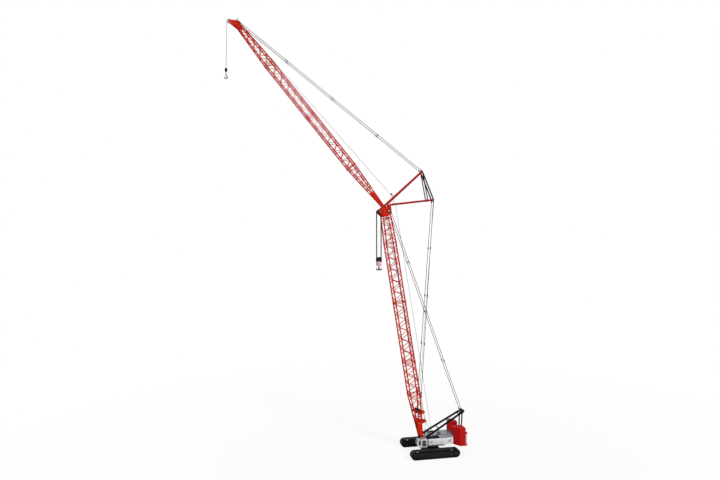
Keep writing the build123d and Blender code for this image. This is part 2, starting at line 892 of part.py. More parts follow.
with BuildPart() as tray:
    with BuildSketch(Plane.XY.offset(tray_bottom)):
        for side in (-1, 1):
            add(stack_outline(side, 0.0))
        with Locations(((tray_rear + beam_front) / 2, 0)):
            Rectangle(beam_front - tray_rear, 2 * stack_inner_y + 20)
        # ears behind the stacks that take the retaining posts
        for side in (-1, 1):
            with Locations((stack_rear - post_standoff / 2, side * post_y)):
                Rectangle(post_standoff + 24, 3.5 * post_radius * 2)
    extrude(amount=tray_thickness)
save(tray, "counterweight_tray")

for side, word in ((1, "left"), (-1, "right")):
    with BuildPart() as stack:
        with BuildSketch(Plane.XY.offset(tray_top)):
            add(stack_outline(side, groove_depth))
        extrude(amount=stack_height)
        for slab in range(slab_count):
            with BuildSketch(Plane.XY.offset(tray_top + slab * slab_pitch)):
                add(stack_outline(side, 0.0))
            extrude(amount=slab_pitch - (slab_groove if slab < slab_count - 1 else 0))
    save(stack, f"counterweight_stack_{word}")

with BuildPart() as posts:
    post_x = stack_rear - post_standoff
    post_height = post_cap_top - post_cap_height - tray_top
    with Locations((post_x, 0, tray_top + post_height / 2)):
        with GridLocations(1, 2 * post_y, 1, 2):
            Cylinder(post_radius, post_height)
    with Locations((stack_rear, 0, post_cap_top - post_cap_height / 2)):
        with GridLocations(1, 2 * post_y, 1, 2):
            Box(post_standoff + 10, 42, post_cap_height, align=(Align.MAX, Align.CENTER, Align.CENTER))
save(posts, "retaining_posts")

# ---- boom hoist bail, on the tray's middle ----
with BuildPart() as bail:
    bail_base = tray_top + bail_leg_radius
    leg_foot_x = (tray_rear + beam_front) / 2
    for side in (-1, 1):
        y = side * bail_half_width
        lay_tubes([((leg_foot_x, y, tray_top), (bail_x, y, bail_z))], bail_leg_radius)
        lay_tubes([((tray_rear + 10, y, tray_top), (bail_x, y, bail_z))], bail_leg_radius)
    with Locations(Location((bail_x, 0, bail_z), (90, 0, 0))):
        Cylinder(bail_leg_radius, 2 * bail_half_width + 2 * bail_leg_radius)
        with GridLocations(1, 1, 1, 1):
            with Locations((0, 0, -24), (0, 0, -12), (0, 0, 0), (0, 0, 12), (0, 0, 24)):
                Cylinder(bail_sheave_radius, 9)
    split(bisect_by=Plane.XY.offset(tray_top), keep=Keep.TOP)
save(bail, "boom_hoist_bail")


# ================= live mast =================

mast_angle = angle_between((boom_foot_x, boom_foot_z), (mast_tip_x, mast_tip_z))
mast_length = Vector(mast_tip_x - boom_foot_x, mast_tip_z - boom_foot_z, 0).length
mast_frame = leaning_frame(boom_foot_x, boom_foot_z, mast_angle)


def frame_half_width(station, length, foot_y, tip_y):
    """Half the spread of an A-frame's two legs at a station."""
    return between(station, 0, length, foot_y, tip_y)


def foot_eyes(y, width, eye_radius, pin_radius, plate_length, plate_depth):
    """Add the two pinned feet of a boom or strut whose pin is along Y through the frame's origin."""
    for side in (-1, 1):
        with Locations(Location((0, side * y, 0), (90, 0, 0))):
            Cylinder(eye_radius, width)
        with Locations((0, side * y, plate_length / 2)):
            Box(plate_depth, width, plate_length)
        with Locations(Location((0, side * y, 0), (90, 0, 0))):
            Cylinder(pin_radius + fit_gap, width + 2, mode=Mode.SUBTRACT)


with BuildPart(mast_frame) as mast:
    foot_y = mast_eye_y
    for side in (-1, 1):
        start = mast_foot_length - 10
        start_y = side * frame_half_width(start, mast_length, foot_y, mast_tip_y)
        lay_tubes([((0, start_y, start), (0, side * mast_tip_y, mast_length))], mast_leg_radius)
    for station, radius in ((0.2 * mast_length, 6.0), (0.4 * mast_length, 9.0), (0.92 * mast_length, 9.0)):
        reach = frame_half_width(station, mast_length, foot_y, mast_tip_y)
        lay_tubes([((0, -reach, station), (0, reach, station))], radius)
    foot_eyes(foot_y, mast_eye_width, 16.0, foot_pin_radius, mast_foot_length, 24.0)
    with Locations(Location((0, 0, mast_length), (90, 0, 0))):
        Cylinder(mast_leg_radius + 3, 2 * mast_tip_y + 24)
save(mast, "live_mast")

with BuildPart(mast_frame) as mast_sheaves:
    # sheaves on a pin hung just beyond the crossbar
    with Locations(Location((0, 0, mast_length + 2 * mast_leg_radius), (90, 0, 0))):
        half = (mast_sheave_count - 1) / 2
        for sheave in range(mast_sheave_count):
            with Locations((0, 0, (sheave - half) * mast_sheave_pitch)):
                Cylinder(mast_sheave_radius, mast_sheave_pitch - 3)
        Cylinder(9, mast_sheave_count * mast_sheave_pitch + 10)
    with Locations(Location((0, 0, mast_length), (90, 0, 0))):
        Cylinder(mast_leg_radius + 3 + fit_gap, 2 * mast_tip_y + 30, mode=Mode.SUBTRACT)
save(mast_sheaves, "mast_sheaves")


# ================= main boom =================

boom_size = (boom_half_depth, boom_half_width)
boom_radii = (boom_chord_radius, boom_lacing_radius)
boom_foot_size = (boom_foot_half_depth, boom_half_width)
boom_butt_section = Lattice(0, boom_butt_length, boom_foot_size, boom_size, *boom_radii)


def foot_web(section, frame, y, plate_length, thickness):
    """Add the solid web between two chords at the foot, on one side of a boom."""
    with BuildSketch(web_plane(frame, y)) as web:
        with BuildLine():
            Polyline(
                (-section.depth(0), 0),
                (section.depth(0), 0),
                (section.depth(plate_length), plate_length),
                (0, plate_length - 60),
                (-section.depth(plate_length), plate_length),
                close=True,
            )
        make_face()
    extrude(web.sketch, amount=thickness / 2, both=True)


with BuildPart(boom_frame) as boom_butt:
    boom_butt_section.chords()
    boom_butt_section.lacing(foot_plate_length, boom_butt_length - connector_length, boom_half_bay)
    boom_butt_section.end_frame(boom_butt_length - connector_length / 2)
    boom_butt_section.connectors(boom_butt_length, -1)
    for side in (-1, 1):
        foot_web(boom_butt_section, boom_frame, side * boom_half_width, foot_plate_length, foot_plate_thickness)
    # front and rear plates close the foot into a box
    for station in (70, 180, foot_plate_length - 20):
        depth = boom_butt_section.depth(station)
        with Locations((0, 0, station)):
            Box(2 * depth, 2 * boom_half_width, foot_plate_thickness)
    # lugs at the rear chords for the backstays
    lug_middle = boom_butt_length - backstay_lug_length / 2
    with Locations((-(boom_half_depth + backstay_lug_depth + 6) / 2, 0, lug_middle)):
        with GridLocations(1, 2 * boom_half_width, 1, 2):
            Box(backstay_lug_depth - boom_half_depth + 6, backstay_lug_thickness, backstay_lug_length)
    for side in (-1, 1):
        with Locations(Location((0, side * boom_eye_y, 0), (90, 0, 0))):
            Cylinder(16, foot_eye_width)
    with Locations((0, 0, 26)):
        with GridLocations(1, 2 * boom_eye_y, 1, 2):
            Box(26, foot_eye_width, 40)
    # bores for the foot pins, and room for the brackets beside each eye
    with Locations(Location((0, 0, 0), (90, 0, 0))):
        Cylinder(foot_pin_radius + fit_gap, 2 * boom_half_width + 40, mode=Mode.SUBTRACT)
    eye_outer = boom_eye_y + foot_eye_width / 2
    for side in (-1, 1):
        with Locations(Location((0, side * (eye_outer + 20), 0), (90, 0, 0))):
            Cylinder(bracket_eye_radius + side_gap, 40, mode=Mode.SUBTRACT)
    split(bisect_by=boom_frame.offset(boom_butt_length), keep=Keep.BOTTOM)
save(boom_butt, "boom_butt")

# inserts: name, start, length
boom_inserts = (
    ("boom_insert_lower", boom_section_starts[1], boom_short_insert),
    ("boom_insert_middle", boom_section_starts[2], boom_long_insert),
    ("boom_insert_upper", boom_section_starts[3], boom_long_insert),
)
for name, start, length in boom_inserts:
    insert = plain_section(boom_frame, start, length, boom_size, boom_radii, boom_half_bay)
    save(insert, name)

main_sheave_at = boom_length - main_sheave_below
rear_sheave_at = boom_length - rear_sheave_below
head_low = boom_length - head_plate_length
boom_tip_size = (boom_tip_half_depth, boom_half_width)
boom_tip_section = Lattice(boom_section_starts[4], boom_length, boom_size, boom_tip_size, *boom_radii)

with BuildPart(boom_frame) as boom_tip:
    boom_tip_section.chords()
    boom_tip_section.lacing(boom_section_starts[4] + connector_length, head_low, boom_half_bay)
    boom_tip_section.end_frame(boom_section_starts[4] + connector_length / 2)
    boom_tip_section.connectors(boom_section_starts[4], 1)
    for side in (-1, 1):
        with BuildSketch(web_plane(boom_frame, side * head_plate_y)):
            with Locations((main_sheave_depth, main_sheave_at)):
                Circle(head_eye_radius)
            with Locations((jib_foot_depth, boom_length + jib_foot_above)):
                Circle(head_eye_radius)
            with Locations((-boom_tip_half_depth, head_low + 20), (boom_tip_half_depth, head_low + 20)):
                Circle(10)
            with Locations((-boom_tip_half_depth, boom_length - 20)):
                Circle(16)
            make_hull()
        extrude(amount=head_plate_thickness / 2, both=True)
        # lug for the rear strut's foot and the boom pendant
        with BuildSketch(web_plane(boom_frame, side * rear_lug_y)):
            with Locations((rear_lug_depth, boom_length + rear_lug_above)):
                Circle(rear_eye_radius)
            with Locations((pendant_lug_depth, boom_length - 50), (-40, boom_length - 60)):
                Circle(14)
            make_hull()
        extrude(amount=head_plate_thickness / 2, both=True)
        # spacer that joins lug and plate
        with Locations((-55, side * (head_plate_y + rear_lug_y) / 2, boom_length - 60)):
            Box(26, head_plate_y - rear_lug_y, 60)
        with Locations(Location((jib_foot_depth, side * 76, boom_length + jib_foot_above), (90, 0, 0))):
            Cylinder(jib_pin_radius, 2 * 35)
        with Locations(Location((rear_lug_depth, side * 64, boom_length + rear_lug_above), (90, 0, 0))):
            Cylinder(rear_pin_radius, 2 * 13)
    # cross plates that tie the two side plates
    for depth, station in ((0, head_low + 30), (-10, boom_length - 104)):
        with Locations((depth, 0, station)):
            Box(90, 2 * head_plate_y, 6)
    with Locations(Location((main_sheave_depth, 0, main_sheave_at), (90, 0, 0))):
        Cylinder(sheave_axle_radius, 2 * head_plate_y)
    with Locations(Location((rear_sheave_depth, 0, rear_sheave_at), (90, 0, 0))):
        Cylinder(sheave_axle_radius, 2 * head_plate_y)
    split(bisect_by=boom_frame.offset(boom_section_starts[4]), keep=Keep.TOP)
save(boom_tip, "boom_tip")


def sheave_row(depth, station, radius, width, pitch, count, bore):
    """Add sheaves with a rope groove, side by side on an axle along Y."""
    with Locations(Location((depth, 0, station), (90, 0, 0))):
        half = (count - 1) / 2
        for sheave in range(count):
            with Locations((0, 0, (sheave - half) * pitch)):
                Cylinder(radius - rope_radius, width)
                with Locations((0, 0, -width * 0.36), (0, 0, width * 0.36)):
                    Cylinder(radius + rope_radius, width * 0.28)
        Cylinder(bore, count * pitch + width, mode=Mode.SUBTRACT)


head_bore = sheave_axle_radius + fit_gap
head_row = (sheave_radius, sheave_width, main_sheave_pitch)
with BuildPart(boom_frame) as head_sheaves:
    sheave_row(main_sheave_depth, main_sheave_at, *head_row, main_sheave_count, head_bore)
    sheave_row(rear_sheave_depth, rear_sheave_at, *head_row, rear_sheave_count, head_bore)
save(head_sheaves, "boom_head_sheaves")

# ---- jib luffing winch, inside the boom's butt ----
butt_winch_at = 505.0
winch_beam_size = 10.0
with BuildPart(boom_frame) as butt_winch:
    winch_depth = boom_butt_section.depth(butt_winch_at)
    beam_depth = winch_depth - winch_beam_size
    beam_half_length = boom_half_width - boom_chord_radius + 0.6
    with Locations(Location((0, 0, butt_winch_at), (90, 0, 0))):
        Cylinder(28, 96)
        with Locations((0, 0, -48), (0, 0, 48)):
            Cylinder(38, 5)
        Cylinder(10, 136)
    for side in (-1, 1):
        with Locations((0, side * 64, butt_winch_at)):
            Box(2 * beam_depth, 6, 44)
        with Locations((side * beam_depth, 0, butt_winch_at)):
            Box(winch_beam_size, 2 * beam_half_length, 24)
save(butt_winch, "jib_luffing_winch")


# ================= struts =================

front_angle = angle_between((jib_foot.X, jib_foot.Z), (front_tip_x, front_tip_z))
front_length = Vector(front_tip_x - jib_foot.X, front_tip_z - jib_foot.Z, 0).length
front_frame = leaning_frame(jib_foot.X, jib_foot.Z, front_angle)
rear_angle = angle_between((rear_strut_foot.X, rear_strut_foot.Z), (rear_tip_x, rear_tip_z))
rear_length = Vector(rear_tip_x - rear_strut_foot.X, rear_tip_z - rear_strut_foot.Z, 0).length
rear_frame = leaning_frame(rear_strut_foot.X, rear_strut_foot.Z, rear_angle)


def strut(frame, length, foot_y, pin_radius, rungs, name):
    """A-frame strut: two legs that close in towards the tip, rungs, and a bar with sheaves at the tip."""
    with BuildPart(frame) as piece:
        start = strut_foot_length - 6
        start_y = frame_half_width(start, length, foot_y, strut_tip_y)
        for side in (-1, 1):
            lay_tubes([((0, side * start_y, start), (0, side * strut_tip_y, length))], strut_leg_radius)
        for share in rungs:
            reach = frame_half_width(share * length, length, foot_y, strut_tip_y)
            lay_tubes([((0, -reach, share * length), (0, reach, share * length))], strut_rung_radius)
        foot_eyes(foot_y, strut_eye_width, pin_radius + 6, pin_radius, strut_foot_length, 16)
        with Locations(Location((0, 0, length), (90, 0, 0))):
            Cylinder(strut_bar_radius, 2 * strut_tip_y + 26)
            half = (strut_sheave_count - 1) / 2
            for sheave in range(strut_sheave_count):
                with Locations((0, 0, (sheave - half) * strut_sheave_pitch)):
                    Cylinder(strut_sheave_radius, strut_sheave_width)
    save(piece, name)


strut(front_frame, front_length, front_foot_y, jib_pin_radius, (0.3, 0.52, 0.76), "front_strut")
strut(rear_frame, rear_length, rear_foot_y, rear_pin_radius, (0.2, 0.5, 0.78), "rear_strut")



# ================= jib =================

jib_size = (jib_half_depth, jib_half_width)
jib_radii = (jib_chord_radius, jib_lacing_radius)
jib_butt_section = Lattice(0, jib_butt_length, (jib_foot_half_depth, jib_half_width), jib_size, *jib_radii)

with BuildPart(jib_frame) as jib_butt:
    jib_butt_section.chords()
    jib_butt_section.lacing(jib_plate_length, jib_butt_length - connector_length, jib_half_bay)
    jib_butt_section.end_frame(jib_butt_length - connector_length / 2)
    jib_butt_section.connectors(jib_butt_length, -1)
    for side in (-1, 1):
        foot_web(jib_butt_section, jib_frame, side * jib_half_width, jib_plate_length, foot_plate_thickness)
    for station in (80, 220, jib_plate_length - 20):
        depth = jib_butt_section.depth(station)
        with Locations((0, 0, station)):
            Box(2 * depth, 2 * jib_half_width, foot_plate_thickness)
    for side in (-1, 1):
        with Locations(Location((0, side * jib_eye_y, 0), (90, 0, 0))):
            Cylinder(14, jib_eye_width)
    with Locations(Location((0, 0, 0), (90, 0, 0))):
        Cylinder(jib_pin_radius + fit_gap, 2 * jib_half_width + 40, mode=Mode.SUBTRACT)
    split(bisect_by=jib_frame.offset(jib_butt_length), keep=Keep.BOTTOM)
save(jib_butt, "jib_butt")

for name, start in (("jib_insert_lower", jib_section_starts[1]), ("jib_insert_upper", jib_section_starts[2])):
    save(plain_section(jib_frame, start, jib_insert_length, jib_size, jib_radii, jib_half_bay), name)

jib_tip_size = (jib_tip_half_depth, jib_tip_half_width)
jib_tip_section = Lattice(jib_section_starts[3], jib_length, jib_size, jib_tip_size, *jib_radii)
jib_sheave_at = jib_length + jib_sheave_beyond
jib_plate_low = jib_length - 70

with BuildPart(jib_frame) as jib_tip:
    jib_tip_section.chords()
    jib_tip_section.lacing(jib_section_starts[3] + connector_length, jib_plate_low, jib_half_bay)
    jib_tip_section.end_frame(jib_section_starts[3] + connector_length / 2)
    jib_tip_section.connectors(jib_section_starts[3], 1)
    for side in (-1, 1):
        with BuildSketch(web_plane(jib_frame, side * jib_head_plate_y)):
            with Locations((jib_sheave_depth, jib_sheave_at)):
                Circle(15)
            with Locations((-jib_tip_half_depth, jib_plate_low), (jib_tip_half_depth, jib_plate_low)):
                Circle(8)
            with Locations((jib_pendant_depth, jib_length + jib_pendant_beyond)):
                Circle(11)
            make_hull()
            with Locations((4, jib_length - 22), (26, jib_length + 50)):
                Circle(13, mode=Mode.SUBTRACT)
        extrude(amount=6 / 2, both=True)
        # wedge between plate and chords
        with Locations((0, side * (jib_head_plate_y + jib_tip_half_width) / 2, jib_length - 45)):
            Box(2 * jib_tip_half_depth, jib_tip_half_width - jib_head_plate_y + 4, 36)
    with Locations(Location((jib_sheave_depth, 0, jib_sheave_at), (90, 0, 0))):
        Cylinder(6, 2 * jib_head_plate_y + 6)
    with Locations(Location((jib_pendant_depth, 0, jib_length + jib_pendant_beyond), (90, 0, 0))):
        Cylinder(7, 2 * jib_pendant_y + 16)
    # horn at the upper rear corner
    horn_start = (jib_pendant_depth, 0, jib_length + jib_pendant_beyond)
    horn_end = (jib_pendant_depth - 26, 0, jib_length + jib_pendant_beyond + 62)
    lay_tubes([(horn_start, horn_end)], 5)
    split(bisect_by=jib_frame.offset(jib_section_starts[3]), keep=Keep.TOP)
save(jib_tip, "jib_tip")

with BuildPart(jib_frame) as tip_sheaves:
    sheave_row(jib_sheave_depth, jib_sheave_at, jib_sheave_radius, 9, 16, 2, 6 + fit_gap)
save(tip_sheaves, "jib_tip_sheaves")


# ================= pendants =================

def pendant_pair(low, high, low_y, high_y, low_gap, high_gap, links, name):
    """Two stays between (x, z) points, each a rod with connector links along it."""
    with BuildPart() as pair:
        for side in (-1, 1):
            start = Vector(low[0], side * low_y, low[1])
            end = Vector(high[0], side * high_y, high[1])
            along = (end - start).normalized()
            start = start + along * low_gap
            end = end - along * high_gap
            lay_tubes([(start, end)], pendant_radius)
            length = (end - start).length
            for link in range(links + 1):
                middle = pendant_link_length / 2 + (length - pendant_link_length) * link / links
                with Locations(Plane(origin=start + along * middle, z_dir=along)):
                    Cylinder(pendant_link_radius, pendant_link_length)
    save(pair, name)


pendant_top = boom_frame.from_local_coords((pendant_lug_depth, 0, boom_length - 50))
pendant_pair(
    (mast_tip_x, mast_tip_z), (pendant_top.X, pendant_top.Z), boom_pendant_y, boom_pendant_y,
    mast_leg_radius + 3 + fit_gap, 14 + fit_gap, 4, "boom_pendants",
)
backstay_low = boom_frame.from_local_coords((-backstay_lug_depth, 0, boom_butt_length + fit_gap))
pendant_pair(
    (backstay_low.X, backstay_low.Z), (rear_tip_x, rear_tip_z), boom_half_width, strut_tip_y + 6,
    3 * fit_gap, strut_bar_radius + fit_gap, 4, "backstay_pendants",
)
jib_pendant_end = jib_frame.from_local_coords((jib_pendant_depth, 0, jib_length + jib_pendant_beyond))
pendant_pair(
    (front_tip_x, front_tip_z), (jib_pendant_end.X, jib_pendant_end.Z), strut_tip_y + 6, jib_pendant_y + 4,
    strut_bar_radius + fit_gap, 7 + fit_gap, 4, "jib_pendants",
)


# ================= main hook block =================

main_axis = boom_frame.from_local_coords((main_sheave_depth, 0, main_sheave_at))
block_x = main_axis.X

with BuildPart() as main_falls:
    fall_length = main_axis.Z - block_sheave_z
    with Locations((block_x, 0, block_sheave_z + fall_length / 2)):
        with GridLocations(2 * (sheave_radius + fit_gap), main_sheave_pitch, 2, main_sheave_count):
            Cylinder(rope_radius, fall_length)
save(main_falls, "main_hoist_falls")

with BuildPart() as block:
    with Locations(Location((block_x, 0, block_sheave_z), (90, 0, 0))):
        half = (main_sheave_count - 1) / 2
        for sheave in range(main_sheave_count):
            with Locations((0, 0, (sheave - half) * main_sheave_pitch)):
                Cylinder(sheave_radius - rope_radius, sheave_width)
        Cylinder(sheave_axle_radius, 2 * block_cheek_y)
    for side in (-1, 1):
        with BuildSketch(side_plane(side * block_cheek_y)):
            with Locations((block_x, block_sheave_z)):
                Circle(block_cheek_radius)
            with Locations(
                (block_x - block_foot_half_width, block_foot_z + 8),
                (block_x + block_foot_half_width, block_foot_z + 8),
            ):
                Circle(8)
            make_hull()
        extrude(amount=block_cheek_thickness / 2, both=True)
    with Locations((block_x, 0, block_foot_z + block_foot_height / 2)):
        Box(2 * block_foot_half_width, 2 * block_cheek_y, block_foot_height)
        Cylinder(hook_shank_radius + fit_gap, block_foot_height, mode=Mode.SUBTRACT)
save(block, "main_hook_block")

with BuildPart() as hook:
    # two horns either side of a shank
    nut_base = block_foot_z + block_foot_height + fit_gap
    with Locations((block_x, 0, nut_base)):
        Cylinder(hook_shank_radius, nut_base - hook_bottom_z - 30, align=(Align.CENTER, Align.CENTER, Align.MAX))
        Cylinder(hook_shank_radius + 6, 9, align=(Align.CENTER, Align.CENTER, Align.MIN))
    with BuildSketch(side_plane(0)):
        horn_z = hook_bottom_z + hook_horn_radius + 6
        for side in (-1, 1):
            with Locations((block_x + side * hook_horn_radius, horn_z)):
                Circle(hook_horn_radius + 6)
        for side in (-1, 1):
            with Locations((block_x + side * (hook_horn_radius + 4), horn_z + 4)):
                Circle(hook_horn_radius - 10, mode=Mode.SUBTRACT)
            with Locations((block_x + side * (hook_horn_radius + 6), horn_z + 22)):
                Rectangle(30, 30, mode=Mode.SUBTRACT)
    extrude(amount=hook_thickness / 2, both=True)
save(hook, "main_hook")


# ================= jib hook =================

jib_axis = jib_frame.from_local_coords((jib_sheave_depth, 0, jib_sheave_at))
ball_x = jib_axis.X + jib_sheave_radius + fit_gap

with BuildPart() as jib_fall:
    fall_length = jib_axis.Z - ball_top_z + 5
    with Locations((ball_x, 8, jib_axis.Z - fall_length / 2)):
        Cylinder(rope_radius, fall_length)
save(jib_fall, "jib_hoist_fall")

with BuildPart() as ball:
    ball_middle = ball_top_z - ball_length / 2
    straight = ball_length - 2 * ball_radius
    with Locations((ball_x, 8, ball_middle)):
        Cylinder(ball_radius, straight)
        with Locations((0, 0, straight / 2), (0, 0, -straight / 2)):
            Sphere(ball_radius)
    with Locations((ball_x, 8, ball_top_z - fit_gap - 5)):
        Cylinder(rope_radius + fit_gap, 40, mode=Mode.SUBTRACT)
save(ball, "jib_hook_ball")

with BuildPart() as small_hook:
    hook_height = ball_top_z - ball_length - ball_hook_bottom_z
    with BuildSketch(side_plane(8)):
        with Locations((ball_x, ball_hook_bottom_z + 32)):
            Circle(32)
            Circle(17, mode=Mode.SUBTRACT)
        with Locations((ball_x + 20, ball_hook_bottom_z + 48)):
            Rectangle(28, 34, mode=Mode.SUBTRACT)
        shank_top = ball_top_z - ball_length - fit_gap
        with Locations((ball_x, shank_top)):
            Rectangle(12, shank_top - ball_hook_bottom_z - 58, align=(Align.CENTER, Align.MAX))
    extrude(amount=6, both=True)
save(small_hook, "jib_hook")
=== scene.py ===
import json
from math import asin, atan2, cos, pi, radians, sin

import bpy
import numpy as np
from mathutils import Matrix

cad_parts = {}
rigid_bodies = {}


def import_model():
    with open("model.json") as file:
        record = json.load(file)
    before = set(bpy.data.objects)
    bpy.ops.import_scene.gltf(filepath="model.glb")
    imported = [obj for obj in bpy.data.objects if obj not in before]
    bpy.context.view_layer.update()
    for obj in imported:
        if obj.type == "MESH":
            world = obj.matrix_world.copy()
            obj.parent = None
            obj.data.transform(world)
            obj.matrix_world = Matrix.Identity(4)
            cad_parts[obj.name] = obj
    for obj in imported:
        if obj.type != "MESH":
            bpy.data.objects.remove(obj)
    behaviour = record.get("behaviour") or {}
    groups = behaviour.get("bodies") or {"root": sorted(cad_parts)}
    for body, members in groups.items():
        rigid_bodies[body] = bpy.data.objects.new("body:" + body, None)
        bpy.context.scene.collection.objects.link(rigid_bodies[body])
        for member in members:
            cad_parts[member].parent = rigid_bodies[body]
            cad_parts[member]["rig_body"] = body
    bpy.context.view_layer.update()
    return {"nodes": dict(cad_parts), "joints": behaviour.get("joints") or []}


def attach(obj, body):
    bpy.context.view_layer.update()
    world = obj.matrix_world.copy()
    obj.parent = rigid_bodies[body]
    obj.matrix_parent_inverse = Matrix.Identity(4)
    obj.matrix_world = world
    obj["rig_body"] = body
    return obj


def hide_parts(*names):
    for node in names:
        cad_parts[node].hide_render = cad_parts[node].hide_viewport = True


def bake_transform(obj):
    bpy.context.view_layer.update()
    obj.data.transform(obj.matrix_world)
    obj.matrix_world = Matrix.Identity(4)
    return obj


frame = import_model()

nodes = frame["nodes"]
jointPlace = {j["name"]: np.array(j["pos_m"], float) for j in frame["joints"]}
bodyOf = {name: node["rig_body"] for name, node in nodes.items()}
print("frame loaded:", len(nodes), "nodes")


class Wire:
    # an output socket that adds a Math node when Python does sums with it
    def __init__(self, paint, socket):
        self.paint, self.socket = paint, socket

    def math(self, operation, other=0.0, swap=False):
        pair = (other, self) if swap else (self, other)
        return self.paint.node("ShaderNodeMath", {"operation": operation}, {0: pair[0], 1: pair[1]})

    def __add__(self, other):
        return self.math("ADD", other)

    def __radd__(self, other):
        return self.math("ADD", other)

    def __sub__(self, other):
        return self.math("SUBTRACT", other)

    def __rsub__(self, other):
        return self.math("SUBTRACT", other, swap=True)

    def __mul__(self, other):
        return self.math("MULTIPLY", other)

    def __rmul__(self, other):
        return self.math("MULTIPLY", other)

    def __pow__(self, other):
        return self.math("POWER", other)

    def __gt__(self, other):
        return self.math("GREATER_THAN", other)

    def __lt__(self, other):
        return self.math("LESS_THAN", other)


class Nodes:
    # the node tree of a material or of the world, emptied, and the means to add to it
    def __init__(self, owner):
        owner.use_nodes = True
        self.tree = owner.node_tree
        self.tree.nodes.clear()

    def feed(self, node, inputs):
        for key, value in inputs.items():
            if isinstance(value, Wire):
                self.tree.links.new(value.socket, node.inputs[key])
            elif value is not None:
                node.inputs[key].default_value = value

    def node(self, kind, settings={}, inputs={}, output=0):
        made = self.tree.nodes.new(kind)
        for key, value in settings.items():
            if key == "stops":
                ramp = made.color_ramp
                for index, (place, shade) in enumerate(value):
                    stop = ramp.elements[index] if index < 2 else ramp.elements.new(place)
                    stop.position, stop.color = place, (shade, shade, shade, 1)
            else:
                setattr(made, key, value)
        self.feed(made, inputs)
        return Wire(self, made.outputs[output])


class Paint(Nodes):
    # one material, with a Principled shader and the few nodes that feed it
    def __init__(self, name, **shader):
        self.material = bpy.data.materials.new(name)
        super().__init__(self.material)
        self.shader = self.tree.nodes.new("ShaderNodeBsdfPrincipled")
        self.output = self.tree.nodes.new("ShaderNodeOutputMaterial")
        self.tree.links.new(self.shader.outputs[0], self.output.inputs["Surface"])
        self.wear(**shader)

    def place(self):
        return self.node("ShaderNodeTexCoord", {}, {}, "Object")

    def along(self, axis, source=None):
        return self.node("ShaderNodeSeparateXYZ", {}, {0: source or self.place()}, axis)

    def stretched(self, scale):
        return self.node("ShaderNodeMapping", {}, {0: self.place(), 3: scale})

    def noise(self, scale, detail=3.0, rough=0.55, source=None):
        inputs = {"Vector": source or self.place(), "Scale": scale, "Detail": detail, "Roughness": rough}
        return self.node("ShaderNodeTexNoise", {}, inputs)

    def ramp(self, value, *stops):
        return self.node("ShaderNodeValToRGB", {"stops": stops}, {0: value})

    def upward(self):
        facing = self.node("ShaderNodeNewGeometry", {}, {}, "Normal")
        return self.along("Z", facing).math("MAXIMUM", 0.0)

    def edges(self, width):
        # how far the rounded normal turns from the true one, near an edge
        rounded = self.node("ShaderNodeBevel", {"samples": 4}, {"Radius": width})
        plain = self.node("ShaderNodeNewGeometry", {}, {}, "Normal")
        same = self.node("ShaderNodeVectorMath", {"operation": "DOT_PRODUCT"},
                         {0: rounded, 1: plain}, "Value")
        return self.ramp(same, (0.75, 1.0), (0.985, 0.0))

    def mix(self, share, low, high):
        low = low if isinstance(low, Wire) else (*low, 1)
        high = high if isinstance(high, Wire) else (*high, 1)
        return self.node("ShaderNodeMix", {"data_type": "RGBA"}, {0: share, 6: low, 7: high}, 2)

    def bump(self, height, strength, distance):
        return self.node("ShaderNodeBump", {}, {"Strength": strength, "Distance": distance, "Height": height})

    def wear(self, **channels):
        self.feed(self.shader, {key.replace("_", " "): value for key, value in channels.items()})
        return self.material


paintLook = {
    # the struts' red is the machine red made darker: painted shade on the struts
    "machineRed": (0.53, 0.017, 0.005), "shadedStrutRed": (0.36, 0.008, 0.010), "weightRed": (0.48, 0.007, 0.008),
    "primer": (0.16, 0.030, 0.025), "dust": (0.42, 0.37, 0.31), "houseWhite": (0.80, 0.80, 0.79),
    "hoodGrey": (0.22, 0.25, 0.29), "cabGrey": (0.60, 0.61, 0.62), "frameBlack": (0.012, 0.013, 0.014),
    "mastBlack": (0.008, 0.008, 0.009), "sheaveGrey": (0.46, 0.48, 0.50), "dustOnTop": 0.14, "coat": 0.20,
    "stripesBelow": 3.500, "stripesPerMetre": 52.0, "strands": 6, "turnsPerMetre": 90,
    "rodTurnsPerMetre": 260,
}


def toned(colour, share, lift=0.0):
    return tuple(min(1, channel * share + lift) for channel in colour)


def sprayPaint(name, colour, gloss, chips, dusty, coat=paintLook["coat"], edge=0.0012, shine=0.5):
    # enamel: a cloudy base, dust that settles on upward faces, chipped edges and a fine orange peel
    paint = Paint(name, Coat_Roughness=0.12, Coat_IOR=1.5, IOR=1.48, Specular_IOR_Level=shine)
    cloudy = paint.noise(7.0, 4.0)
    streaks = paint.noise(1.0, 4.0, 0.6, paint.stretched((55, 55, 5)))
    base = paint.mix(cloudy * 0.5 + streaks * 0.25, toned(colour, 0.78), toned(colour, 1.12))
    speck = paint.ramp(paint.noise(420.0, 2.0), (0.62, 0.0), (0.70, 1.0))
    chipped = paint.edges(edge) * paint.ramp(paint.noise(160.0, 3.0), (0.42, 0.0), (0.56, 1.0)) * chips
    base = paint.mix(chipped, base, paintLook["primer"])
    settled = paint.upward() * paint.ramp(paint.noise(24.0, 5.0), (0.35, 0.25), (0.75, 1.0))
    dust = settled * (paintLook["dustOnTop"] * dusty) + speck * settled * (0.25 * dusty)
    base = paint.mix(dust, base, paintLook["dust"])
    peel = paint.noise(900.0, 2.0) * 0.5 + cloudy * 0.5
    rough = gloss + dust * 0.8 + chipped * 0.4 + (cloudy - 0.5) * 0.15
    lacquer = (1 - dust - chipped).math("MAXIMUM", 0.0) * coat if coat else None
    return paint.wear(Base_Color=base, Roughness=rough, Coat_Weight=lacquer,
                      Normal=paint.bump(peel - chipped * 0.8, 0.25, 0.0006))


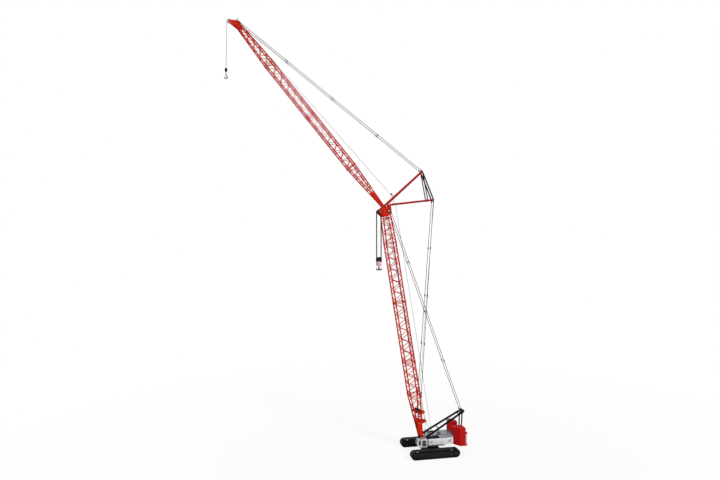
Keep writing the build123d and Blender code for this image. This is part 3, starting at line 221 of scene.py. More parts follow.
def bareSteel(name, colour, rough, metal, oil):
    # worked steel: turning marks, dark oily film in patches, brighter rubbed edges
    paint = Paint(name, Specular_IOR_Level=0.2)
    marks = paint.noise(1.0, 3.0, 0.6, paint.stretched((60, 900, 60)))
    film = paint.ramp(paint.noise(30.0, 4.0), (0.40, 0.0), (0.68, 1.0)) * oil
    rubbed = paint.edges(0.0010)
    base = paint.mix(marks, toned(colour, 0.75), toned(colour, 1.2))
    base = paint.mix(rubbed * 0.7, base, toned(colour, 1.8, 0.06))
    base = paint.mix(film, base, (0.012, 0.011, 0.010))
    rough = rough + (marks - 0.5) * 0.2 + film * 0.2
    return paint.wear(Base_Color=base, Metallic=metal - film * 0.6, Roughness=rough,
                      Normal=paint.bump(marks, 0.12, 0.0004))


def wireRope(name, colour, byLength=False):
    # six strands in a helix: on rope pieces from their own UV, on straight rods from their height and sides
    paint = Paint(name, Specular_IOR_Level=0.08)
    if byLength:
        source = paint.node("ShaderNodeUVMap", {"uv_map": "ropeUV"})
        turns, strands = 2 * pi * paintLook["turnsPerMetre"], 2 * pi * paintLook["strands"]
        lay = paint.along("X", source) * turns + paint.along("Y", source) * strands
    else:
        place = paint.place()
        slant = paint.along("Z", place) + paint.along("Y", place) * 0.8 + paint.along("X", place) * 0.8
        lay = slant * (2 * pi * paintLook["rodTurnsPerMetre"])
    strand = lay.math("SINE") * 0.5 + 0.5
    grime = paint.ramp(paint.noise(60.0, 4.0), (0.38, 0.0), (0.66, 1.0))
    base = paint.mix(strand, toned(colour, 0.45), colour)
    base = paint.mix(grime * 0.45, base, (0.018, 0.016, 0.014))
    return paint.wear(Base_Color=base, Metallic=0.05, Roughness=0.60 + grime * 0.2,
                      Normal=paint.bump(strand, 0.8, 0.0005))


def laminatedGlass():
    # tinted glass that lets light through, with a faint film of dust low down
    paint = Paint("cabGlass", Metallic=0.0, IOR=1.5)
    film = paint.ramp(paint.noise(35.0, 4.0), (0.40, 0.0), (0.80, 1.0))
    base = paint.mix(film * 0.25, (0.030, 0.038, 0.045), (0.30, 0.30, 0.28))
    return paint.wear(Base_Color=base, Roughness=0.04 + film * 0.15, Alpha=0.62 + film * 0.12)


def trackSteel():
    # dark manganese steel: bright where the shoes rub, dry earth packed into the low places
    paint = Paint("trackSteel", Specular_IOR_Level=0.05)
    pitted = paint.noise(240.0, 4.0, 0.65)
    rubbed = paint.edges(0.0016) * paint.ramp(paint.noise(90.0, 2.0), (0.30, 0.2), (0.65, 1.0))
    earth = paint.ramp(paint.noise(28.0, 5.0, 0.6), (0.50, 0.0), (0.72, 1.0)) * 0.30
    base = paint.mix(pitted, (0.006, 0.007, 0.008), (0.020, 0.021, 0.023))
    base = paint.mix(rubbed * 0.55, base, (0.10, 0.10, 0.11))
    base = paint.mix(earth * 0.6, base, (0.060, 0.050, 0.038))
    rough = 0.55 + earth * 0.6 - rubbed * 0.2
    return paint.wear(Base_Color=base, Metallic=0.30 + rubbed * 0.5 - earth * 0.9, Roughness=rough,
                      Normal=paint.bump(pitted + earth, 0.45, 0.0008))


def walkwayGrating():
    # galvanised tread plate: raised lozenges, two ways across, with a zinc bloom
    paint = Paint("walkwayGrating")
    place = paint.place()
    across, forward = paint.along("Y", place), paint.along("X", place)
    lozenge = ((forward + across) * 1400.0).math("SINE") * ((forward - across) * 1400.0).math("SINE")
    raised = paint.ramp(lozenge, (0.25, 0.0), (0.60, 1.0))
    bloom = paint.noise(45.0, 5.0)
    base = paint.mix(raised, (0.055, 0.058, 0.060), (0.17, 0.175, 0.18))
    base = paint.mix(bloom * 0.5, base, (0.10, 0.10, 0.098))
    return paint.wear(Base_Color=base, Metallic=0.7 - bloom * 0.3, Roughness=0.45 + bloom * 0.2,
                      Normal=paint.bump(raised, 0.7, 0.0006))


def seatVinyl():
    # dark vinyl with a fine leather grain, paler where it is sat on
    paint = Paint("seatVinyl", Sheen_Weight=0.15)
    grain = paint.node("ShaderNodeTexVoronoi", {}, {"Vector": paint.place(), "Scale": 900.0})
    worn = paint.upward() * paint.noise(60.0, 3.0)
    base = paint.mix(worn, (0.018, 0.018, 0.020), (0.075, 0.073, 0.070))
    return paint.wear(Base_Color=base, Roughness=0.52 - worn * 0.15, Normal=paint.bump(grain, 0.5, 0.0004))


def mouldedPlastic():
    # dark plastic with a moulded grain and dull scuffs
    paint = Paint("consolePlastic")
    grain = paint.noise(1300.0, 2.0)
    scuffs = paint.ramp(paint.noise(70.0, 5.0), (0.55, 0.0), (0.75, 1.0))
    base = paint.mix(scuffs * 0.4, (0.030, 0.031, 0.033), (0.11, 0.11, 0.11))
    return paint.wear(Base_Color=base, Roughness=0.50 + scuffs * 0.12, Normal=paint.bump(grain, 0.4, 0.0003))


def castIron():
    # sand-cast iron under patches of soot
    paint = Paint("engineIron")
    sand = paint.noise(500.0, 3.0)
    soot = paint.ramp(paint.noise(40.0, 5.0), (0.35, 0.0), (0.65, 1.0))
    base = paint.mix(soot * 0.7, (0.060, 0.062, 0.066), (0.016, 0.015, 0.014))
    return paint.wear(Base_Color=base, Metallic=0.3, Roughness=0.62 + soot * 0.15,
                      Normal=paint.bump(sand, 0.6, 0.0006))


def hookBlockPaint():
    # black sheave case above, slanting red and white safety stripes on the weights below
    paint = Paint("hookBlockPaint", Coat_Roughness=0.2, Specular_IOR_Level=0.08)
    place = paint.place()
    high, forward = paint.along("Z", place), paint.along("X", place)
    stripe = ((high + forward) * paintLook["stripesPerMetre"]).math("FRACT") > 0.5
    striped = paint.mix(stripe, (0.72, 0.70, 0.68), (0.52, 0.016, 0.014))
    low = high < paintLook["stripesBelow"]
    worn = paint.edges(0.0012) * paint.ramp(paint.noise(150.0, 3.0), (0.35, 0.0), (0.60, 1.0))
    base = paint.mix(low, (0.006, 0.006, 0.007), striped)
    base = paint.mix(worn * 0.4, base, (0.07, 0.065, 0.06))
    return paint.wear(Base_Color=base, Roughness=0.50 + worn * 0.3, Metallic=worn * 0.6,
                      Normal=paint.bump(paint.noise(700.0) - worn, 0.2, 0.0005))


# sprayed finishes: colour, gloss, chips, dust, then coat, width of the worn edge and shine
look = {
    "red_boom": sprayPaint("boomRed", paintLook["machineRed"], 0.50, 0.3, 0.25, 0.0, 0.0008, 0.06),
    "red_counterweight": sprayPaint("weightRed", paintLook["weightRed"], 0.52, 0.6, 0.4, 0.0, 0.0018, 0.06),
    # the struts take the darker red, which is painted shade
    "red_strut": sprayPaint("shadedStrutRed", paintLook["shadedStrutRed"], 0.50, 0.3, 0.2, 0.0, 0.0010, 0.06),
    "white_house": sprayPaint("houseWhite", paintLook["houseWhite"], 0.28, 0.25, 1.0),
    "grey_hood": sprayPaint("hoodGrey", paintLook["hoodGrey"], 0.38, 0.5, 1.2),
    "light_cab": sprayPaint("cabGrey", paintLook["cabGrey"], 0.26, 0.25, 0.8),
    "black_frame": sprayPaint("frameBlack", paintLook["frameBlack"], 0.60, 0.5, 0.35, coat=0.0, shine=0.05),
    "black_mast": sprayPaint("mastBlack", paintLook["mastBlack"], 0.55, 0.3, 0.15, coat=0.0, shine=0.05),
    "pale_sheave": sprayPaint("paleSheave", paintLook["sheaveGrey"], 0.40, 0.5, 0.6, coat=0.1),
    "track_steel": trackSteel(),
    "winch_steel": bareSteel("winchSteel", (0.014, 0.015, 0.017), 0.55, 0.20, 0.6),
    "sheave_steel": bareSteel("sheaveSteel", (0.012, 0.012, 0.014), 0.52, 0.20, 0.5),
    "hook_steel": bareSteel("hookSteel", (0.040, 0.041, 0.045), 0.52, 0.40, 0.4),
    "rope_steel": wireRope("hoistRope", (0.040, 0.042, 0.046)),
    "pendant_steel": wireRope("pendantRod", (0.045, 0.047, 0.051)),
    "engine_iron": castIron(), "grating": walkwayGrating(), "glass": laminatedGlass(),
    "seat_cloth": seatVinyl(), "console_plastic": mouldedPlastic(), "block_black": hookBlockPaint(),
    "lay_rope": wireRope("layRope", (0.036, 0.038, 0.042), byLength=True),
}

for node in nodes.values():
    for place in node.material_slots:
        place.material = look[place.material.name.split(".")[0]]
print("materials:", len(look))


# a shape is its vertices, its faces in blocks with as many corners each, and perhaps a map

def unit(vectors):
    return vectors / np.linalg.norm(vectors, axis=-1, keepdims=True)


def gridFaces(rings, sides):
    # quads between neighbouring rings of a tube, wrapped round its sides
    i, j = np.meshgrid(np.arange(rings - 1), np.arange(sides), indexing="ij")
    near, far = i * sides, (i + 1) * sides
    on = (j + 1) % sides
    return np.stack([near + j, near + on, far + on, far + j], -1).reshape(-1, 4)


def endFans(rings, sides):
    # triangles from the first and the last ring to the two points that follow the rings
    count, last, k = rings * sides, (rings - 1) * sides, np.arange(sides)
    on = (k + 1) % sides
    return [np.stack([np.full(sides, count), on, k], -1),
            np.stack([np.full(sides, count + 1), last + k, last + on], -1)]


def tubeShape(points, radius, sides=8):
    # a round profile carried along a path: point + radius * (across * cos + over * sin), a fan at each end;
    # the map runs along the path in metres and round it from 0 to 1
    points = np.asarray(points, float)
    ahead = unit(np.gradient(points, axis=0))
    guide = np.array([0, 1.0, 0]) if abs(ahead[:, 1]).max() < 0.9 else np.array([1.0, 0, 0])
    across = unit(np.cross(ahead, guide))
    over = np.cross(across, ahead)
    turn = np.arange(sides)[:, None] * 2 * pi / sides
    ring = across[:, None] * np.cos(turn) + over[:, None] * np.sin(turn)
    verts = (points[:, None] + radius * ring).reshape(-1, 3)
    travel = np.concatenate([[0], np.cumsum(np.linalg.norm(np.diff(points, axis=0), axis=1))])
    i, j = np.meshgrid(np.arange(len(points) - 1), np.arange(sides), indexing="ij")
    low, high, share, on = travel[i], travel[i + 1], j / sides, (j + 1) / sides
    corners = [np.stack(pair, -1) for pair in ((high, share), (high, on), (low, on), (low, share))]
    faces = [block[:, ::-1] for block in [gridFaces(len(points), sides)] + endFans(len(points), sides)]
    return {"verts": np.vstack([verts, points[:1], points[-1:]]), "faces": faces,
            "uv": np.vstack([np.stack(corners, 2).reshape(-1, 2), np.zeros((6 * sides, 2))])}


def rod(start, end, radius, sides=10):
    return tubeShape([start, end], radius, sides)


def turnedShape(profile, middle, axis=(0, 0, 1), sides=24):
    # (radius, height) pairs turned about an axis; a first or last pair on the axis becomes a pole
    profile, axis = np.asarray(profile, float), unit(np.asarray(axis, float))
    poles = middle + np.outer(profile[[0, -1], 1], axis)
    profile = profile[profile[:, 0] > 1e-9]
    guide = np.array([1.0, 0, 0]) if abs(axis[0]) < 0.9 else np.array([0, 1.0, 0])
    across = unit(np.cross(axis, guide))
    over = np.cross(axis, across)
    turn = np.arange(sides)[:, None] * 2 * pi / sides
    ring = across * np.cos(turn) + over * np.sin(turn)
    verts = middle + profile[:, 0, None, None] * ring + profile[:, 1, None, None] * axis
    faces = [gridFaces(len(profile), sides)] + endFans(len(profile), sides)
    return {"verts": np.vstack([verts.reshape(-1, 3), poles]), "faces": faces, "uv": None}


def wheel(middle, radius, width, rim):
    # a sheave about the Y axis: a groove between two rims, a dished web and a hub
    half, hub = width / 2, radius * 0.30
    profile = [(0, -half), (hub, -half), (hub, -half * 0.6), (radius * 0.80, -half * 0.45),
               (radius * 0.86, -half), (radius, -half), (radius, -half * 0.7), (radius - rim, 0),
               (radius, half * 0.7), (radius, half), (radius * 0.86, half), (radius * 0.80, half * 0.45),
               (hub, half * 0.6), (hub, half), (0, half)]
    return turnedShape(profile, middle, (0, 1, 0), 32)


def plainPin(middle, radius, length, sides=16):
    # a round pin along Y with softened ends
    half, soft = length / 2, min(radius * 0.25, length * 0.2)
    profile = [(0, -half), (radius - soft, -half), (radius, -half + soft), (radius, half - soft),
               (radius - soft, half), (0, half)]
    return turnedShape(profile, middle, (0, 1, 0), sides)


def ringShape(middle, inner, outer, thickness, sides=40):
    # a flat ring about the Y axis, its four edges a little rounded and its profile closed on itself
    half, soft = thickness / 2, thickness * 0.2
    profile = [(inner, -half + soft), (inner + soft, -half), (outer - soft, -half), (outer, -half + soft),
               (outer, half - soft), (outer - soft, half), (inner + soft, half), (inner, half - soft),
               (inner, -half + soft)]
    shape = turnedShape(profile, middle, (0, 1, 0), sides)
    count = (len(profile) - 1) * sides
    return {"verts": shape["verts"][:count], "faces": [shape["faces"][0] % count], "uv": None}


def boltRing(middle, radius, count, bolt, height):
    # six-sided bolt heads on a circle about the Y axis
    turn = np.arange(count) * 2 * pi / count
    offsets = np.column_stack([radius * np.cos(turn), np.zeros(count), radius * np.sin(turn)])
    shape = plainPin(middle, bolt, height, 6)
    size = len(shape["verts"])
    return {"verts": (offsets[:, None] + shape["verts"]).reshape(-1, 3), "uv": None,
            "faces": [block + index * size for index in range(count) for block in shape["faces"]]}


def boxShape(low, high):
    # eight corners from two, with six outward faces
    low, high = np.minimum(low, high), np.maximum(low, high)
    pick = np.array([[0, 0, 0], [1, 0, 0], [1, 1, 0], [0, 1, 0], [0, 0, 1], [1, 0, 1], [1, 1, 1], [0, 1, 1]])
    faces = [[0, 3, 2, 1], [4, 5, 6, 7], [0, 1, 5, 4], [1, 2, 6, 5], [2, 3, 7, 6], [3, 0, 4, 7]]
    return {"verts": low + (high - low) * pick, "faces": [np.array(faces)], "uv": None}


def wall(xs, ys, zs):
    return boxShape(*zip(xs, ys, zs))


def slab(place, low, high):
    # a box square to a leaning frame, between two corners given as (depth, y, station)
    shape = boxShape(low, high)
    shape["verts"] = place(*shape["verts"].T)
    return shape


def beam(place, start, end, depth, width):
    # a rectangular member of a leaning frame, its ends cut square, between two (depth, y, station) points
    shape = boxShape((-depth / 2, -width / 2, 0), (depth / 2, width / 2, 1))
    share = shape["verts"][:, 2:]
    route = np.array(start) * (1 - share) + np.array(end) * share
    shape["verts"] = place(*(route + shape["verts"] * (1, 1, 0)).T)
    return shape


def plateShape(outline, thickness, origin, along, up):
    # an outline of (along, up) pairs in a plane, given a thickness either side of it
    outline = np.asarray(outline, float)
    out = np.cross(along, up) * thickness / 2
    flat = origin + outline[:, :1] * along + outline[:, 1:] * up
    x, y = outline.T
    turn = np.sum(x * np.roll(y, -1) - np.roll(x, -1) * y)
    count, k = len(outline), np.arange(len(outline))
    on = (k + 1) % count
    faces = [k[None], (count + k[::-1])[None], np.stack([k, count + k, count + on, on], -1)]
    faces = [block[:, ::-1] for block in faces] if turn < 0 else faces
    return {"verts": np.vstack([flat + out, flat - out]), "faces": faces, "uv": None}


def merged(shapes):
    # several shapes as one, with an empty map where only the others have one
    faces, maps, start = [], [], 0
    for shape in shapes:
        faces += [block + start for block in shape["faces"]]
        corners = sum(block.size for block in shape["faces"])
        maps.append(np.zeros((corners, 2)) if shape["uv"] is None else shape["uv"])
        start += len(shape["verts"])
    mapped = any(shape["uv"] is not None for shape in shapes)
    return {"verts": np.vstack([shape["verts"] for shape in shapes]), "faces": faces,
            "uv": np.vstack(maps) if mapped else None}


def piece(name, shapes, finish, body=None, slot=None, bevel=0.0, smooth=True):
    # puts shapes in the scene, in place, with their finish, and lets them ride; bevelled ones have flat faces
    shape = merged(shapes)
    mesh = bpy.data.meshes.new(name)
    faces = [face for block in shape["faces"] for face in block.tolist()]
    mesh.from_pydata(shape["verts"].tolist(), [], faces)
    if shape["uv"] is not None:
        layer = mesh.uv_layers.new(name="ropeUV")
        layer.data.foreach_set("uv", shape["uv"].astype(np.float32).ravel())
    smooth = smooth and not bevel
    mesh.polygons.foreach_set("use_smooth", np.full(len(mesh.polygons), smooth))
    mesh.materials.append(look[finish])
    mesh.validate()
    made = bpy.data.objects.new(name, mesh)
    bpy.context.scene.collection.objects.link(made)
    if smooth:
        mesh.set_sharp_from_angle(angle=radians(38))
    if bevel:
        rounder = made.modifiers.new("rounder", "BEVEL")
        rounder.width, rounder.segments, rounder.limit_method = bevel, 2, "ANGLE"
    slot or finish
    if body:
        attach(made, body)
    return made


def tangentPoints(first, firstRadius, firstSide, second, secondRadius, secondSide):
    # the straight line that touches two circles, each on its left (1) or right (-1) side
    first, second = np.asarray(first, float), np.asarray(second, float)
    reach = np.linalg.norm(second - first)
    ahead = (second - first) / reach
    left = np.array([-ahead[1], ahead[0]])
    slope = asin((firstSide * firstRadius - secondSide * secondRadius) / reach)
    out = left * cos(slope) + ahead * sin(slope)
    return first + firstSide * firstRadius * out, second + secondSide * secondRadius * out


def ropeLine(stops):
    # a taut rope over sheaves: stops are (x, y, z, radius, side), joined by tangents and by arcs round each
    # sheave; a straight run has only its two ends, so it stays straight when blended between two bodies
    runs = [tangentPoints((a[0], a[2]), *a[3:], (b[0], b[2]), *b[3:]) for a, b in zip(stops, stops[1:])]
    line = []
    for index, (start, end) in enumerate(runs):
        line.append([(start[0], stops[index][1], start[1]), (end[0], stops[index + 1][1], end[1])])
        if index + 1 < len(runs):
            x, y, z, radius = stops[index + 1][:4]
            leave = runs[index + 1][0]
            first, last = atan2(end[1] - z, end[0] - x), atan2(leave[1] - z, leave[0] - x)
            sweep = (last - first + pi) % (2 * pi) - pi
            turn = first + sweep * np.linspace(0, 1, 8)[1:-1]
            around, height = x + radius * np.cos(turn), z + radius * np.sin(turn)
            line.append(np.column_stack([around, np.full(6, y), height]))
    return np.vstack(line)


def ropes(name, lines, radius, body=None, sides=8):
    return piece(name, [tubeShape(line, radius, sides) for line in lines], "lay_rope", body, "rope_steel")


def lean(foot, angle):
    # a frame at a foot pin: depth forward out of the underside, y across, station along the boom
    tilt = radians(angle)
    axes = np.array([[sin(tilt), 0, -cos(tilt)], [0, 1, 0], [cos(tilt), 0, sin(tilt)]])
    return lambda *spot: foot + np.stack(np.broadcast_arrays(*spot), -1) @ axes


boomFoot, jibFoot = jointPlace["boom_luff"], jointPlace["jib_luff"]
headSheave, tipSheave = jointPlace["main_block_swing"], jointPlace["jib_hook_swing"]
crane = {"boomAngle": 80.94, "boomLength": 4.276, "jibAngle": 50.19, "jibLength": 4.19,
         "mastTip": (-0.635, 0.690), "frontTip": (0.109, 5.206), "rearTip": (-0.107, 4.676)}
onBoom = lean(boomFoot, crane["boomAngle"])
onJib = lean(jibFoot, crane["jibAngle"])

# places are (x, z); drums run front, middle, rear, then the one of the boom hoist
ropeValues = {
    "radius": 0.0028, "hoistFalls": 5, "hoistPitch": 0.012, "luffingPitch": 0.014, "strutRadius": 0.0215,
    "bail": (-0.612, 0.350), "bailRadius": 0.0225, "mastRadius": 0.0305, "secondRow": 0.115,
    "rearFoot": (0.76275, 4.563), "winchStation": 0.505, "winchRadius": 0.0295, "winchY": 0.020,
    "lineY": 0.008, "tipRadius": 0.0375, "horn": (3.551, 7.842), "hornRadius": 0.009,
    "strutGuide": (0.703, 4.763), "strutGuideRadius": 0.018, "rearRoller": (0.614, 4.578),
    "rearRollerRadius": 0.014, "jibDrumY": 0.012, "mainY": 0.022, "deflector": (-0.050, 0.050),
    "deflectorRadius": 0.0405, "rollerRadius": 0.006,
    "buttRoller": (0.098, 0.728), "splitRoller": (0.066, 0.562),
    "drumRadius": 0.0205, "drumHeight": 0.227, "drums": (0.084, -0.002, -0.088, -0.166),
}


def boomHoistRopes(v):
    # U-shaped falls: each goes under one bail sheave and up to two sheaves of the mast's tip
    (mx, mz), (bx, bz), half = crane["mastTip"], v["bail"], v["hoistPitch"] / 2
    lines = []
    for y in (np.arange(v["hoistFalls"]) - 2) * v["hoistPitch"]:
        front, back = ((mx, y + off, mz, v["mastRadius"], -1) for off in (-half, half))
        lines.append(ropeLine([front, (bx, y, bz, v["bailRadius"], -1), back]))
    made = ropes("boomHoistRopes", lines, v["radius"])
    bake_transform(made)


def luffingRopes(v):
    # falls between the two strut tips, on two rows of sheaves under the rear one
    (fx, fz), (rx, rz) = crane["frontTip"], crane["rearTip"]
    sx, sz = (rx, rz) + unit(np.array(v["rearFoot"]) - (rx, rz)) * v["secondRow"]
    lines = []
    for x, z, count in ((rx, rz, 5), (sx, sz, 4)):
        for y in (np.arange(count) - (count - 1) / 2) * v["luffingPitch"]:
            tip = (fx, y, fz, v["strutRadius"], 1)
            lines.append(ropeLine([tip, (x, y, z, v["strutRadius"], 1), tip]))
    made = ropes("jibLuffingRopes", lines, v["radius"])
    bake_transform(made)


def luffingLine(v):
    # from the rear strut's tip down into the boom's butt, where its winch is
    (rx, rz), drum, y = crane["rearTip"], onBoom(0, 0, v["winchStation"]), v["winchY"]
    line = ropeLine([(rx, y, rz, v["strutRadius"], -1), (drum[0], y, drum[2], v["winchRadius"], -1)])
    ropes("jibLuffingLine", [line], v["radius"], "boom")


def jibHoistLine(v):
    # over the jib's tip and its horn to the guide on the front strut, then by the rear strut to the deck
    (gx, gz), (px, pz), (hx, hz), y = v["strutGuide"], v["rearRoller"], v["horn"], v["lineY"]
    top, horn = (tipSheave[0], y, tipSheave[2], v["tipRadius"], 1), (hx, y, hz, v["hornRadius"], 1)
    guide, roller = (gx, y, gz, v["strutGuideRadius"], 1), (px, y, pz, v["rearRollerRadius"], 1)
    drum = (v["drums"][2], v["jibDrumY"], v["drumHeight"], v["drumRadius"], 1)
    ropes("jibHoistLineUpper", [ropeLine([top, horn, guide])], v["radius"], "jib")
    made = ropes("jibHoistLineMiddle", [ropeLine([guide, roller])], v["radius"])
    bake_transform(made)
    made = ropes("jibHoistLineLower", [ropeLine([roller, drum])], v["radius"])
    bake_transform(made)


def mainHoistLines(v):
    # off the rear deflection sheaves, along the boom's back, over two guide rollers to two drums
    depth, below = v["deflector"]
    head = onBoom(depth, 0, crane["boomLength"] - below)
    (bx, bz), (sx, sz), small = v["buttRoller"], v["splitRoller"], v["rollerRadius"]
    over, under = [], []
    for y, drumX in ((v["mainY"], v["drums"][0]), (-v["mainY"], v["drums"][3])):
        over.append(ropeLine([(head[0], y, head[2], v["deflectorRadius"], 1), (bx, y, bz, small, 1)]))
        drum = (drumX, y, v["drumHeight"], v["drumRadius"], 1)
        under.append(ropeLine([(bx, y, bz, small, 1), (sx, y, sz, small, 1), drum]))
    ropes("mainHoistLinesUpper", over, v["radius"], "boom")
    made = ropes("mainHoistLinesLower", under, v["radius"])
    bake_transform(made)


boomHoistRopes(ropeValues)
luffingRopes(ropeValues)
luffingLine(ropeValues)
jibHoistLine(ropeValues)
mainHoistLines(ropeValues)
print("ropes")


# painted tubes over the chords and the lacing of each section
latticeValues = {
    "boom": {"place": onBoom, "chord": 0.0124, "lacing": 0.0066, "burial": 0.0052, "halfBay": 0.1015},
    "jib": {"place": onJib, "chord": 0.0114, "lacing": 0.0061, "burial": 0.0045, "halfBay": 0.0908},
    "nodeSpace": 0.006, "end": 0.012, "openFront": "boomTipTubes",
}
# (station, half depth, half width) at two stations
boomBox = ((0.0, 0.091, 0.0975), (9.0, 0.091, 0.0975))
boomTipBox = ((3.630, 0.091, 0.0975), (4.276, 0.068, 0.0975))
jibBox = ((0.0, 0.071, 0.070), (9.0, 0.071, 0.070))
# columns: name, kind, chord stations, lacing stations, box
latticeRows = (
    ("boomButtTubes", "boom", (0.352, 0.800), (0.350, 0.776), ((0.0, 0.013, 0.0975), (0.800, 0.091, 0.0975))),
    ("boomLowerTubes", "boom", (0.800, 1.410), (0.824, 1.386), boomBox),
    ("boomMiddleTubes", "boom", (1.410, 2.520), (1.434, 2.496), boomBox),
    ("boomUpperTubes", "boom", (2.520, 3.630), (2.544, 3.606), boomBox),
    ("boomTipTubes", "boom", (3.630, 4.120), (3.654, 4.126), boomTipBox),
    ("jibButtTubes", "jib", (0.402, 0.960), (0.400, 0.936), ((0.0, 0.010, 0.070), (0.960, 0.071, 0.070))),
    ("jibLowerTubes", "jib", (0.960, 2.140), (0.984, 2.116), jibBox),
    ("jibUpperTubes", "jib", (2.140, 3.320), (2.164, 3.296), jibBox),
    ("jibTipTubes", "jib", (3.320, 4.125), (3.344, 4.120), ((3.320, 0.071, 0.070), (4.190, 0.034, 0.044))),
)


def latticeTubes(v, name, kind, chords, lacings, section):
    # four chords, lacing that zigzags along each face, and a square of tubes at both ends
    own, (start, stop), (stations, depths, widths) = v[kind], lacings, zip(*section)
    place, lacing, burial = own["place"], own["lacing"], own["burial"]

    def at(front, left, station, sunk=(0.0, 0.0)):
        depth, width = np.interp(station, stations, depths), np.interp(station, stations, widths)
        return place(front * (depth - sunk[0]), left * (width - sunk[1]), station)

    shapes = [rod(at(front, left, chords[0]), at(front, left, chords[1]), own["chord"], 12)
              for front in (-1, 1) for left in (-1, 1)]
    count = max(2, round((stop - start) / own["halfBay"]))
    pitch = (stop - start) / count
    for bay in range(count):
        a, b = start + bay * pitch + v["nodeSpace"], start + (bay + 1) * pitch - v["nodeSpace"]
        turn = 1 if bay % 2 == 0 else -1
        for side in (-1, 1):
            sunk = burial, 0.0
            shapes.append(rod(at(turn, side, a, sunk), at(-turn, side, b, sunk), lacing, 8))
            # the falls swing in close to the tip's front face, so its lacing stays bare
            if side < 0 or name != v["openFront"]:
                sunk = 0.0, burial
                shapes.append(rod(at(side, turn, a, sunk), at(side, -turn, b, sunk), lacing, 8))
    for station in (chords[0] + v["end"], chords[1] - v["end"]):
        for side in (-1, 1):
            shapes.append(rod(at(-1, side, station), at(1, side, station), lacing, 8))
            if side < 0 or name != v["openFront"]:
                shapes.append(rod(at(side, -1, station), at(side, 1, station), lacing, 8))
    piece(name, shapes, "red_boom", kind)


for row in latticeRows:
    latticeTubes(latticeValues, *row)

jointValues = {
    "boom": {"place": onBoom, "stations": (0.800, 1.410, 2.520, 3.630), "size": (0.091, 0.0975)},
    "jib": {"place": onJib, "stations": (0.960, 2.140, 3.320), "size": (0.071, 0.070)},
    "clevis": 0.0125, "reach": 0.030, "pin": 0.0055, "pinLength": 0.034, "pinOff": 0.014,
}


def sectionJoints(v):
    # on each chord where two sections meet: a forked block and its two pins
    half = np.array([v["clevis"], v["clevis"], v["reach"]])
    for kind in ("boom", "jib"):
        place, (depth, width) = v[kind]["place"], v[kind]["size"]
        blocks, pins = [], []
        corners = [(front * depth, left * width, station) for station in v[kind]["stations"]
                   for front in (-1, 1) for left in (-1, 1)]
        for middle in np.array(corners):
            blocks.append(slab(place, middle - half, middle + half))
            for off in (-v["pinOff"], v["pinOff"]):
                pins.append(plainPin(place(*(middle + (0, 0, off))), v["pin"], v["pinLength"]))
        piece(kind + "JointsBlocks", blocks, "red_boom", kind, bevel=0.0022)
        piece(kind + "JointsPins", pins, "hook_steel", kind)


sectionJoints(jointValues)
print("lattice")

frameValues = {
    "rung": 0.0085, "stopShort": 0.014,
    "gusset": (0.003, 0.3, 0.016, 0.024),  # half thickness, share of the leg, reach past it, half length
    "doubler": (0.32, 0.0015, 0.020),  # share of the leg's depth either way, thickness, half length
}
# feet and tips as (x, z), half widths there, legs as (deep, wide), rungs as shares of the length
frameRows = {
    "frontStrut": {"body": "jib", "finish": "red_strut", "foot": jibFoot[::2], "tip": crane["frontTip"],
                   "halves": (0.103, 0.045), "leg": (0.034, 0.021), "from": 0.048,
                   "rungs": (0.30, 0.52, 0.76, 0.90)},
    "rearStrut": {"body": "boom", "finish": "red_strut", "tip": crane["rearTip"],
                  "foot": onBoom(-0.096, 0, crane["boomLength"] + 0.065)[::2],
                  "halves": (0.062, 0.045), "leg": (0.027, 0.020), "from": 0.048,
                  "rungs": (0.20, 0.50, 0.78, 0.88)},
    "mast": {"body": "live_mast", "finish": "black_mast", "foot": boomFoot[::2], "tip": crane["mastTip"],
             "halves": (0.118, 0.062), "leg": (0.032, 0.025), "from": 0.065,
             "rungs": (0.20, 0.40, 0.66, 0.92)},
}


def aFrame(v, name, row):
    # two legs that close in towards the tip; at each rung a gusset, and a doubling plate each side of a leg
    foot, tip = np.array(row["foot"]), np.array(row["tip"])
    length = np.linalg.norm(tip - foot)
    place = lean((foot[0], 0, foot[1]), atan2(tip[1] - foot[1], tip[0] - foot[0]) * 180 / pi)
    (deep, wide), (low, high) = row["leg"], row["halves"]

    def half(station):
        return low + (high - low) * station / length

    start, stop = row["from"], length - v["stopShort"]
    legs = [beam(place, (0, side * half(start), start), (0, side * half(stop), stop), deep, wide)
            for side in (-1, 1)]
    bars, plates = [], []
    for at in np.array(row["rungs"]) * length:
        bars.append(rod(place(0, -half(at), at), place(0, half(at), at), v["rung"], 12))
        for side in (-1, 1):
            y = side * half(at)
            thick, share, reach, long = v["gusset"]
            plates.append(slab(place, (-thick, y - side * wide * share, at - long),
                               (thick, y - side * (wide * 0.5 + reach), at + long)))
            share, thick, long = v["doubler"]
            for face in (-1, 1):
                plates.append(slab(place, (-deep * share, y + face * wide * 0.5, at - long),
                                   (deep * share, y + face * (wide * 0.5 + thick), at + long)))
    piece(name + "Legs", legs, row["finish"], row["body"], bevel=0.003)
    piece(name + "Rungs", bars, row["finish"], row["body"])
    piece(name + "Gussets", plates, row["finish"], row["body"], bevel=0.0006)
    return place, length


framePlaces = {name: aFrame(frameValues, name, row) for name, row in frameRows.items()}

# wheels are (radius, width, rim), or (width, rim) where the rope gives the radius; pins are (radius, length)
sheaveValues = {
    "count": 4, "pitch": 0.014, "sheave": (0.0225, 0.009, 0.002), "bar": (0.009, 0.116), "slack": 0.0005,
    "guide": (0.009, 0.0015), "guidePin": (0.004, 0.020), "armOff": 0.008, "arm": 0.0035, "crossBar": 0.008,
    "roller": (0.012, 0.0012), "rollerPin": (0.0035, 0.11), "hornRoller": (0.0088, 0.010, 0.001),
}


